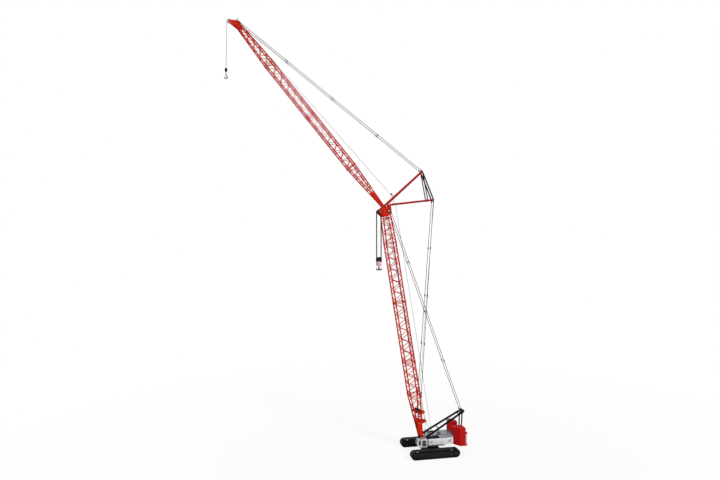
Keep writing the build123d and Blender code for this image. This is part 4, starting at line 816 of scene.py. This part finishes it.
def strutSheaves(v, place, length):
    # a second row of sheaves under the rear strut's tip, and the guides that lead the jib's hoist line
    at = length - ropeValues["secondRow"]
    across = (np.arange(v["count"]) - (v["count"] - 1) / 2) * v["pitch"]
    piece("rearStrutSheaves", [wheel(place(0, y, at), *v["sheave"]) for y in across], "sheave_steel", "boom")
    piece("rearStrutSheaveBar", [plainPin(place(0, 0, at), *v["bar"])], "hook_steel", "boom")
    line, y = ropeValues, ropeValues["lineY"]
    (gx, gz), (px, pz), (hx, hz) = line["strutGuide"], line["rearRoller"], line["horn"]
    guide = wheel((gx, y, gz), line["strutGuideRadius"] - v["slack"], *v["guide"])
    piece("frontStrutGuide", [guide, plainPin((gx, y, gz), *v["guidePin"])], "sheave_steel", "jib")
    foot, (low, high) = np.array(frameRows["frontStrut"]["foot"]), frameRows["frontStrut"]["halves"]
    leg = crane["frontTip"] - foot
    share = ((gx, gz) - foot) @ leg / (leg @ leg)
    (sx, sz), half = foot + leg * share, low + (high - low) * share
    arms = [rod((sx, y + off, sz), (gx, y + off, gz), v["arm"], 8) for off in (-v["armOff"], v["armOff"])]
    arms.append(rod((sx, -half, sz), (sx, half, sz), v["crossBar"], 10))
    piece("frontStrutGuideArms", arms, "red_strut", "jib")
    roller = wheel((px, y, pz), line["rearRollerRadius"] - v["slack"], *v["roller"])
    piece("rearStrutRoller", [roller, plainPin((px, y, pz), *v["rollerPin"])], "sheave_steel", "boom")
    piece("jibHornRoller", [wheel((hx, y, hz), *v["hornRoller"])], "sheave_steel", "jib")


strutSheaves(sheaveValues, *framePlaces["rearStrut"])

# stays are bars joined by flat links and pins
stayValues = {
    "radius": 0.0052, "link": 0.0090, "linkLength": 0.046, "plate": 0.0022, "links": 4, "barGap": 0.004,
    "pin": 0.0032, "pinOff": 0.013, "pinShare": 2.3, "plateOff": 0.75,
    "taper": (0.6, 0.64),  # a plate's width at its ends, and where along it the full width starts
}
# columns: name, the node it stands for, low end, high end, half widths there, how far short of them it stops
stayRows = (
    ("boomStays", "boom_pendants", crane["mastTip"], onBoom(-0.095, 0, crane["boomLength"] - 0.050)[::2],
     (0.062, 0.062), (0.0143, 0.0143)),
    ("backstays", "backstay_pendants", onBoom(-0.112, 0, 0.8003)[::2], crane["rearTip"],
     (0.0975, 0.051), (0.0009, 0.0123)),
    ("jibStays", "jib_pendants", crane["frontTip"], onJib(-0.042, 0, crane["jibLength"] + 0.038)[::2],
     (0.051, 0.044), (0.0123, 0.0073)),
)


def stays(v, name, node, low, high, halves, gaps):
    # each link is two eight-sided plates, widest over its two pins
    long, wide = v["linkLength"] / 2, v["link"]
    quarter = [(long, wide * v["taper"][0]), (long * v["taper"][1], wide)]
    outline = [(-a, -b) for a, b in quarter] + [(a, -b) for a, b in quarter[::-1]]
    outline += [(a, b) for a, b in quarter] + [(-a, b) for a, b in quarter[::-1]]
    bars, links = [], []
    for side in (-1, 1):
        start = np.array([low[0], side * halves[0], low[1]])
        end = np.array([high[0], side * halves[1], high[1]])
        ahead = unit(end - start)
        start, end = start + ahead * gaps[0], end - ahead * gaps[1]
        length = np.linalg.norm(end - start)
        bars.append(rod(start + ahead * v["barGap"], end - ahead * v["barGap"], v["radius"], 10))
        across = np.cross(ahead, (0, 1.0, 0))
        for share in np.linspace(0, 1, v["links"] + 1):
            middle = start + ahead * (long + (length - v["linkLength"]) * share)
            for off in (-wide * v["plateOff"], wide * v["plateOff"]):
                links.append(plateShape(outline, v["plate"], middle + (0, off, 0), ahead, across))
            for off in (-v["pinOff"], v["pinOff"]):
                links.append(plainPin(middle + ahead * off, v["pin"], wide * v["pinShare"], 10))
    made = piece(name, bars + links, "pendant_steel", bodyOf[node])
    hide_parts(node)


for row in stayRows:
    stays(stayValues, *row)

fallValues = {
    "radius": 0.0026, "single": 0.0032, "offset": 0.0423, "pitch": 0.022, "sheaves": 4, "blockHeight": 3.540,
    "ballTop": 6.925, "jibOffset": 0.0388, "jibY": 0.008,
}


def hookFalls(v):
    # plumb ropes down both sides of the four head sheaves, and one off the jib's tip sheave
    def plumb(x, y, low, high):
        return np.column_stack([np.full(12, x), np.full(12, y), np.linspace(low, high, 12)])

    (x, _, z), low = headSheave, v["blockHeight"]
    lines = [plumb(x + side * v["offset"], (k - 1.5) * v["pitch"], low, z)
             for side in (-1, 1) for k in range(v["sheaves"])]
    made = ropes("mainFalls", lines, v["radius"], bodyOf["main_hoist_falls"])
    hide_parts("main_hoist_falls")
    line = plumb(tipSheave[0] + v["jibOffset"], v["jibY"], v["ballTop"], tipSheave[2])
    made = ropes("jibFall", [line], v["single"], bodyOf["jib_hoist_fall"])
    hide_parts("jib_hoist_fall")


hookFalls(fallValues)
print("struts, stays and falls")

# axles of the boom head: depth, distance below the boom's length, radius of the bearing housing; the rest are
# thicknesses, and shares of that radius
headValues = {"face": 0.0942, "axles": ((-0.050, 0.050, 0.042), (0.118, 0.036, 0.021)), "ring": 0.006,
              "cap": 0.010, "bolts": 12, "boltHeight": 0.0085, "ringShare": 0.62, "capShare": 0.34,
              "circleShare": 0.81, "boltShare": 0.055}


def headBearings(v):
    # bearing housings on the outer faces of the head's plates: a ring, a cap and a circle of bolts
    rings, caps, bolts = [], [], []
    for side in (-1, 1):
        for depth, below, outer in v["axles"]:
            middle = onBoom(depth, side * v["face"], crane["boomLength"] - below)
            rings.append(ringShape(middle, outer * v["ringShare"], outer, v["ring"]))
            caps.append(plainPin(middle, outer * v["capShare"], v["cap"], 24))
            circle, bolt = outer * v["circleShare"], outer * v["boltShare"]
            bolts.append(boltRing(middle, circle, v["bolts"], bolt, v["boltHeight"]))
    piece("headBearingRings", rings, "sheave_steel", "boom")
    piece("headBearingCaps", caps, "pale_sheave", "boom")
    piece("headBearingBolts", bolts, "hook_steel", "boom", smooth=False)


headBearings(headValues)

guideValues = {
    "radius": 0.0055, "flange": 0.0085, "lip": 0.003, "half": 0.036, "cheekY": 0.040, "cheek": 0.005,
    "cross": 0.003, "pin": (0.0035, 0.092), "buttWidth": 0.0975,
    "buttDepth": (0.009, 0.0975),  # at the boom's foot, and its growth with the station
    "snout": (0.010, 0.014, 0.012),  # reach of a cheek's corners and of its tip past the roller, half height
}
# columns: name, depth and station of the roller, the bracket's stations on the rear chords
guideRows = (
    ("upperRopeGuide", -0.1372, 0.454, (0.412, 0.496)),
    ("lowerRopeGuide", -0.1427, 0.285, (0.250, 0.325)),
)


def ropeGuide(v, name, depth, station, bracket):
    # a roller on two cheeks behind the boom's butt, and the cross plate that holds them on its rear face
    origin, low, high = onBoom(0, 0, 0), *bracket
    along, up = onBoom(1, 0, 0) - origin, onBoom(0, 0, 1) - origin
    back, width = -v["buttDepth"][0] - v["buttDepth"][1] * station, v["buttWidth"]
    corner, tip, rise = v["snout"]
    outline = [(back, low), (back, high), (depth - corner, station + rise), (depth - tip, station),
               (depth - corner, station - rise)]
    cheeks = [plateShape(outline, v["cheek"], origin + (0, side * v["cheekY"], 0), along, up)
              for side in (-1, 1)]
    cross = slab(onBoom, (back - v["cross"], -width, low), (back + v["cross"], width, high))
    piece(name + "Bracket", cheeks + [cross], "red_boom", "boom", bevel=0.0012)
    half, lip, radius, flange = v["half"], v["half"] - v["lip"], v["radius"], v["flange"]
    groove = lip - v["lip"]
    profile = [(0, -half), (flange, -half), (flange, -lip), (radius, -groove), (radius, groove),
               (flange, lip), (flange, half), (0, half)]
    middle = onBoom(depth, 0, station)
    shapes = [turnedShape(profile, middle, (0, 1, 0), 20), plainPin(middle, *v["pin"])]
    piece(name + "Roller", shapes, "sheave_steel", "boom")


for row in guideRows:
    ropeGuide(guideValues, *row)

blockValues = {
    "face": 0.054, "height": 3.540, "cap": (0.0115, 0.006), "ring": (0.014, 0.024, 0.003),
    "keepers": (0.019, 10, 0.0016, 0.0055),  # radius of the circle, count, radius of a bolt, height
    "bolt": (0.0030, 0.006), "bolts": ((-0.024, -0.052), (0.024, -0.052), (-0.016, -0.088), (0.016, -0.088)),
}


def hookBlockFittings(v):
    # pin caps, keeper bolts and weight bolts on the block's two cheeks
    caps, bolts = [], []
    for side in (-1, 1):
        middle = np.array([headSheave[0], side * v["face"], v["height"]])
        caps += [plainPin(middle, *v["cap"], 28), ringShape(middle, *v["ring"])]
        bolts.append(boltRing(middle, *v["keepers"]))
        bolts += [plainPin(middle + (x, 0, z), *v["bolt"], 6) for x, z in v["bolts"]]
    piece("blockPinCaps", caps, "sheave_steel", "main_block")
    piece("blockBolts", bolts, "hook_steel", "main_block", smooth=False)


hookBlockFittings(blockValues)

houseValues = {
    "outer": 0.165, "inner": 0.095, "step": -0.027, "stepInner": 0.135, "rear": -0.408, "front": 0.065,
    "top": 0.312, "band": 0.033, "bandSplit": -0.135, "doorLow": 0.171, "doorHigh": 0.273, "plate": 0.0016,
    "doors": ((-0.402, -0.288), (-0.282, -0.168), (-0.162, -0.048), (-0.042, 0.059)), "louvred": (0, 3),
    "slats": 9, "slatPitch": 0.006, "slat": 0.0032, "slatInset": 0.026, "slatsDown": 0.024, "sunk": 0.001,
    "roofOut": 0.0020, "hinge": 0.0016, "hingeHalf": 0.006, "hingeInset": (0.002, 0.014),
    "handle": (0.016, 0.007, 0.003),  # from and to behind the door's front edge, half height
}


def houseSides(v):
    # raised doors with louvres, flush handles and hinges, and roof bands folded over the top edge
    doors, bands, darkBands, irons, slats = [], [], [], [], []
    middle, low, top = (v["doorLow"] + v["doorHigh"]) / 2, v["top"] - v["band"], v["top"]
    # columns: which band, its x from and to, its inner edge; the front one stands clear of the mast's foot
    roofs = ((bands, v["rear"] - v["sunk"], v["bandSplit"], v["inner"]),
             (darkBands, v["bandSplit"], v["step"], v["inner"]),
             (darkBands, v["step"], v["front"] + v["sunk"], v["stepInner"]))
    for side in (-1, 1):
        y = side * v["outer"]
        inside, out, over = y - side * v["sunk"], y + side * v["plate"], y + side * v["roofOut"]
        for index, (a, b) in enumerate(v["doors"]):
            doors.append(wall((a, b), (inside, out), (v["doorLow"], v["doorHigh"])))
            grip, (back, ahead, half) = (out - side * 0.0005, out + side * 0.0016), v["handle"]
            irons.append(wall((b - back, b - ahead), grip, (middle - half, middle + half)))
            inX, inZ = v["hingeInset"]
            for z in (v["doorLow"] + inZ, v["doorHigh"] - inZ):
                pin, half = np.array([a + inX, out + side * v["hinge"] / 2, z]), (0, 0, v["hingeHalf"])
                irons.append(rod(pin - half, pin + half, v["hinge"], 8))
            if index in v["louvred"]:
                blade = (out - side * 0.0006, out + side * 0.0014)
                for z in middle - v["slatsDown"] + np.arange(v["slats"]) * v["slatPitch"]:
                    slats.append(wall((a + v["slatInset"], b - v["slatInset"]), blade, (z, z + v["slat"])))
        for target, a, b, inner in roofs:
            target.append(wall((a, b), (inside, over), (low, top)))
            target.append(wall((a, b), (side * inner, over), (top - v["sunk"], top + v["plate"])))
        front = (v["front"], v["front"] + v["plate"])
        darkBands.append(wall(front, (side * v["stepInner"], over), (low, top + v["plate"])))
    piece("houseDoors", doors, "white_house", "upperworks", bevel=0.0008)
    piece("houseLouvres", slats, "grey_hood", "upperworks", bevel=0.0005)
    piece("houseHandles", irons, "black_frame", "upperworks")
    piece("houseRoofRear", bands, "grey_hood", "upperworks", bevel=0.0008)
    piece("houseRoofFront", darkBands, "black_frame", "upperworks", bevel=0.0008)


houseSides(houseValues)

railValues = {
    "y": 0.208, "from": -0.226, "to": 0.056, "foot": 0.167, "height": 0.088, "knee": 0.52, "radius": 0.0013,
    "posts": 6, "kick": (-0.001, 0.010), "kickOut": (0.0016, 0.0024), "footDown": 0.002,
}


def catwalkRails(v):
    # posts with a top rail, a knee rail and a kick plate
    shapes, kicks = [], []
    for side in (-1, 1):
        y, foot = side * v["y"], v["foot"]
        for share in (1.0, v["knee"]):
            top = foot + v["height"] * share
            shapes.append(rod((v["from"], y, top), (v["to"], y, top), v["radius"], 8))
        for x in np.linspace(v["from"], v["to"], v["posts"]):
            shapes.append(rod((x, y, foot - v["footDown"]), (x, y, foot + v["height"]), v["radius"], 8))
        across, upright = [y + side * out for out in v["kickOut"]], [foot + up for up in v["kick"]]
        kicks.append(wall((v["from"], v["to"]), across, upright))
    piece("catwalkRails", shapes, "pale_sheave", "upperworks")
    piece("catwalkKickPlates", kicks, "black_frame", "upperworks", bevel=0.0003)


catwalkRails(railValues)

drumValues = {"radius": 0.0225, "winchRadius": 0.0305, "reach": 0.039, "rope": 0.0023, "lay": 1.04,
              "turnSteps": 20}


def drumWraps(v):
    # rope wound from flange to flange: a helix that moves one rope's width a turn
    turns, steps, height = int(v["reach"] / (v["rope"] * v["lay"])), v["turnSteps"], ropeValues["drumHeight"]
    angle = np.linspace(0, turns * 2 * pi, turns * steps)
    across = np.linspace(-v["reach"], v["reach"], len(angle))
    x, z = v["radius"] * np.cos(angle), height + v["radius"] * np.sin(angle)
    lines = [np.column_stack([drum + x, across, z]) for drum in ropeValues["drums"]]
    ropes("drumWraps", lines, v["rope"], "upperworks", 6)
    angle, across = angle[:-steps * 2], across[:-steps * 2]
    winch = onBoom(v["winchRadius"] * np.cos(angle), across,
                   ropeValues["winchStation"] + v["winchRadius"] * np.sin(angle))
    ropes("luffingWraps", [winch], v["rope"], "boom", 6)


drumWraps(drumValues)

cabValues = {
    "rear": 0.105, "nose": 0.300, "inner": 0.132, "outer": 0.226, "top": 0.300, "guardUp": 0.010,
    "guard": 0.0018, "guardInset": (0.02, 0.045, 0.012),  # from the cab's rear, nose and sides
    "slat": 0.0012, "slats": 7, "slatInset": 0.01, "rail": 0.0016, "railX": 0.008,
    "railPath": ((-0.002, 0.190), (0.008, 0.194), (0.008, 0.262), (-0.002, 0.266)),  # out of the side, height
    "armPath": ((-0.040, -0.002, 0.290), (-0.034, 0.016, 0.290), (-0.030, 0.020, 0.286)),
    "mirror": ((-0.0315, -0.0285), (0.014, 0.026), (0.258, 0.286)),  # from the nose, out of the side, height
    "lampAt": (0.002, 0.018, 0.004),  # ahead of the guard, in from the sides, above the guard
    "lamp": ((0, -0.008), (0.0035, -0.008), (0.006, -0.003), (0.0068, 0.004), (0.0062, 0.005),
             (0.0058, 0.0035), (0, 0.0035)),
    "lens": ((0, 0.0030), (0.0056, 0.0030), (0.0052, 0.0042), (0.0030, 0.0050), (0, 0.0052)),
}


def cabFittings(v):
    # roof guard, work lamps, a grab rail beside the door and a mirror on an arm
    rear, nose, inner, outer, top = v["rear"], v["nose"], v["inner"], v["outer"], v["top"]
    (inRear, inNose, inSide), (lampX, lampY, lampZ) = v["guardInset"], v["lampAt"]
    high, sides = top + v["guardUp"], (inner + inSide, outer - inSide)
    back, front = rear + inRear, nose - inNose
    black = []
    for y in sides:
        black.append(rod((back, y, high), (front, y, high), v["guard"], 8))
        black += [rod((x, y, top - 0.003), (x, y, high), v["guard"], 8) for x in (back, front)]
    for x in np.linspace(back + v["slatInset"], front - v["slatInset"], v["slats"]):
        black.append(rod((x, sides[0], high), (x, sides[1], high), v["slat"], 8))
    spots = [(front + lampX, y, high + lampZ) for y in (inner + lampY, outer - lampY)]
    lamps = [turnedShape(v["lamp"], spot, (1, 0, 0), 20) for spot in spots]
    lenses = [turnedShape(v["lens"], spot, (1, 0, 0), 20) for spot in spots]
    rail = [(rear + v["railX"], outer + out, z) for out, z in v["railPath"]]
    arm = [(nose + ahead, outer + out, z) for ahead, out, z in v["armPath"]]
    black += [tubeShape(rail, v["rail"], 8), tubeShape(arm, v["slat"], 8)]
    ahead, out, upright = v["mirror"]
    mirror = wall([nose + x for x in ahead], [outer + y for y in out], upright)
    piece("cabRoofGuard", black, "black_frame", "upperworks")
    piece("cabLamps", lamps, "black_frame", "upperworks")
    piece("cabLampLenses", lenses, "pale_sheave", "upperworks")
    piece("cabMirror", [mirror], "console_plastic", "upperworks", bevel=0.0009)


cabFittings(cabValues)

hoodValues = {
    "front": -0.205, "rear": -0.425, "half": 0.088, "slatsFrom": 0.022, "slatPitch": 0.0115, "slats": 16,
    "slat": 0.0060, "slatZ": (0.3135, 0.3235), "slatOut": 0.0014, "sunk": 0.001, "rearLow": 0.205,
    "rearPitch": 0.0098, "rearSlats": 11, "rearSlat": 0.0058, "rearInset": 0.014, "eyeInset": 0.03,
    "eyeY": 0.060, "eyeZ": 0.3325, "eye": (0.003, 0.0062, 0.003),  # inner and outer radius, thickness
}


def hoodFittings(v):
    # cooling slats on both sides and the rear, and lifting eyes
    slats, eyes = [], []
    for side in (-1, 1):
        blade = (side * (v["half"] - v["sunk"]), side * (v["half"] + v["slatOut"]))
        for x in v["rear"] + v["slatsFrom"] + np.arange(v["slats"]) * v["slatPitch"]:
            slats.append(wall((x, x + v["slat"]), blade, v["slatZ"]))
        for x in (v["front"] - v["eyeInset"], v["rear"] + v["eyeInset"]):
            eyes.append(ringShape((x, side * v["eyeY"], v["eyeZ"]), *v["eye"], 20))
    half, across = v["half"] - v["rearInset"], (v["rear"] - v["slatOut"], v["rear"] + v["sunk"])
    for z in v["rearLow"] + np.arange(v["rearSlats"]) * v["rearPitch"]:
        slats.append(wall(across, (-half, half), (z, z + v["rearSlat"])))
    piece("hoodSlats", slats, "black_frame", "upperworks", bevel=0.0004)
    piece("hoodEyes", eyes, "black_frame", "upperworks")


hoodFittings(hoodValues)

weightValues = {
    "slabs": 8, "pitch": 0.0376, "bottom": 0.173, "outer": 0.295, "rear": -0.600,
    "lugX": (-0.575, -0.520), "padY": (0.130, 0.200), "post": (-0.617, 0.268), "highlightBandLow": 0.190,
    # the white bands on the posts are painted highlights, standing for light glinting off the slab edges
    "highlightBandPitch": 0.0324, "bands": 5,
    "lug": ((0, -0.002), (0.0075, -0.002), (0.0075, 0.003), (0.004125, 0.004), (0.004125, 0.006),
            (0.007125, 0.007), (0.006375, 0.009), (0, 0.009)),
    "pad": ((0, -0.002), (0.006, -0.002), (0.0055, 0.0025), (0.003, 0.003), (0, 0.003)),
    "band": ((0, 0), (0.0056, 0), (0.0062, 0.001), (0.0062, 0.023), (0.0056, 0.024), (0, 0.024)),
}


def counterweightFittings(v):
    # cast lugs on each slab's outer side, pads on its rear, and white bands on the posts behind, which are
    # painted highlights for light glinting off the slab edges
    lugs, bands, (postX, postY) = [], [], v["post"]
    for side in (-1, 1):
        for z in v["bottom"] + (np.arange(v["slabs"]) + 0.5) * v["pitch"]:
            lugs += [turnedShape(v["lug"], (x, side * v["outer"], z), (0, side, 0), 16) for x in v["lugX"]]
            lugs += [turnedShape(v["pad"], (v["rear"], side * y, z), (-1, 0, 0), 14) for y in v["padY"]]
        for z in v["highlightBandLow"] + np.arange(v["bands"]) * v["highlightBandPitch"]:
            bands.append(turnedShape(v["band"], (postX, side * postY, z), (0, 0, 1), 18))
    piece("counterweightLugs", lugs, "red_counterweight", "upperworks")
    piece("postHighlightBands", bands, "white_house", "upperworks")


counterweightFittings(weightValues)

trackValues = {
    "outer": 0.357, "wheelX": 0.381, "axleZ": 0.074, "plateZ": (0.060, 0.104), "bolt": 0.0032,
    "boltCircle": 0.020, "plates": ((-0.250, -0.130), (-0.110, 0.110), (0.130, 0.250)), "boltGap": 0.03,
    "plate": 0.0022, "boltInset": (0.008, 0.005), "stepX": (-0.190, 0.190), "stepZ": 0.048,
    "step": (0.022, 0.012, 0.0022),  # half length, reach, radius
}


def trackFrameFittings(v):
    # bolted covers on the side frames, bolt circles round the axles, and steps on the outer side
    plates, bolts, steps = [], [], []
    (low, high), (half, reach, radius), (inX, inZ), z = v["plateZ"], v["step"], v["boltInset"], v["stepZ"]
    for side in (-1, 1):
        y = side * v["outer"]
        for a, b in v["plates"]:
            plates.append(wall((a, b), (y - side * 0.001, y + side * v["plate"]), v["plateZ"]))
            for x in np.linspace(a + inX, b - inX, max(3, int((b - a) / v["boltGap"]))):
                for at in (low + inZ, high - inZ):
                    bolts.append(plainPin((x, y + side * 0.0028, at), v["bolt"] * 0.7, 0.0030, 6))
        for x in (-v["wheelX"], v["wheelX"]):
            bolts.append(boltRing((x, y + side * 0.0030, v["axleZ"]), v["boltCircle"], 10, v["bolt"], 0.004))
        out = y + side * reach
        for x in v["stepX"]:
            path = [(x - half, y, z), (x - half, out, z), (x + half, out, z), (x + half, y, z)]
            steps.append(tubeShape(path, radius, 8))
    piece("trackFramePlates", plates, "black_frame", "undercarriage", bevel=0.0008)
    piece("trackFrameBolts", bolts, "hook_steel", "undercarriage", smooth=False)
    piece("trackFrameSteps", steps, "black_frame", "undercarriage")


trackFrameFittings(trackValues)
print("upperworks and undercarriage")

studio = {
    "white": 1.0, "ambient": 0.50, "key": 1.9, "keyTurn": (52, 0, 205), "keySoftness": 14,
    "fill": 0.55, "fillTurn": (62, 0, 120), "fillSoftness": 60, "shadow": 0.16,
    "floorReach": 60.0, "floorDown": 0.0004, "fadeFrom": 3.0, "fadeTo": 9.0,
}
cameraValues = {"place": (3.0769, 8.7688, 3.4034), "azimuth": 168.565, "pitch": 3.156, "lens": 24.34}


def seenRays(nodes):
    # 1 for the rays that show the background: straight to the camera, mirrored or through glass
    rays = [nodes.node("ShaderNodeLightPath", {}, {}, name) for name in
            ("Is Camera Ray", "Is Glossy Ray", "Is Transmission Ray")]
    return rays[0].math("MAXIMUM", rays[1]).math("MAXIMUM", rays[2])


def makeFloor(v):
    corners = np.array([[-1, -1, 0], [1, -1, 0], [1, 1, 0], [-1, 1, 0]], float) * v["floorReach"]
    # faintly grey where it is close by and seen, and as white as the background further out
    mesh = bpy.data.meshes.new("studioFloor")
    mesh.from_pydata((corners - [0, 0, v["floorDown"]]).tolist(), [], [[0, 1, 2, 3]])
    paint = Paint("floorWhite", Roughness=0.9)
    glow = paint.node("ShaderNodeEmission", {}, {"Color": (1, 1, 1, 1), "Strength": v["white"]})
    grain = paint.noise(90.0, 3.0)
    paint.wear(Base_Color=paint.mix(grain, (0.86, 0.86, 0.86), (0.90, 0.90, 0.90)))
    place = paint.place()
    flat = (paint.along("X", place) ** 2 + paint.along("Y", place) ** 2) ** 0.5
    near = paint.node("ShaderNodeMapRange", {},
                      {0: flat, 1: v["fadeFrom"], 2: v["fadeTo"], 3: v["shadow"], 4: 0.0})
    share = 1 - near * seenRays(paint) - (1 - seenRays(paint))
    shaded = Wire(paint, paint.shader.outputs[0])
    mixed = paint.node("ShaderNodeMixShader", {}, {0: share, 1: shaded, 2: glow})
    paint.feed(paint.output, {"Surface": mixed})
    mesh.materials.append(paint.material)
    floor = bpy.data.objects.new("studioFloor", mesh)
    bpy.context.scene.collection.objects.link(floor)


def makeWorld(v):
    # full white behind the model, and a dimmer light from all round on it
    world = bpy.data.worlds.new("studioWorld")
    bpy.context.scene.world = world
    sky = Nodes(world)
    level = sky.node("ShaderNodeMapRange", {}, {0: seenRays(sky), 3: v["ambient"], 4: v["white"]})
    back = sky.node("ShaderNodeBackground", {}, {0: (1, 1, 1, 1), 1: level})
    sky.feed(sky.tree.nodes.new("ShaderNodeOutputWorld"), {0: back})


def makeSun(name, strength, turn, softness):
    lamp = bpy.data.lights.new(name, "SUN")
    lamp.energy, lamp.angle = strength, radians(softness)
    sun = bpy.data.objects.new(name, lamp)
    sun.rotation_euler = tuple(radians(angle) for angle in turn)
    bpy.context.scene.collection.objects.link(sun)


def makeCamera(v):
    lens = bpy.data.cameras.new("craneCamera")
    lens.lens, lens.sensor_width, lens.clip_end = v["lens"], 36, 200
    camera = bpy.data.objects.new("craneCamera", lens)
    camera.location = v["place"]
    camera.rotation_euler = (radians(90 + v["pitch"]), 0, radians(v["azimuth"]))
    bpy.context.scene.collection.objects.link(camera)
    bpy.context.scene.camera = camera


makeFloor(studio)
makeWorld(studio)
makeSun("keySun", studio["key"], studio["keyTurn"], studio["keySoftness"])
makeSun("fillSun", studio["fill"], studio["fillTurn"], studio["fillSoftness"])
makeCamera(cameraValues)
bpy.context.scene.view_settings.view_transform = "Standard"
print("stage and camera")
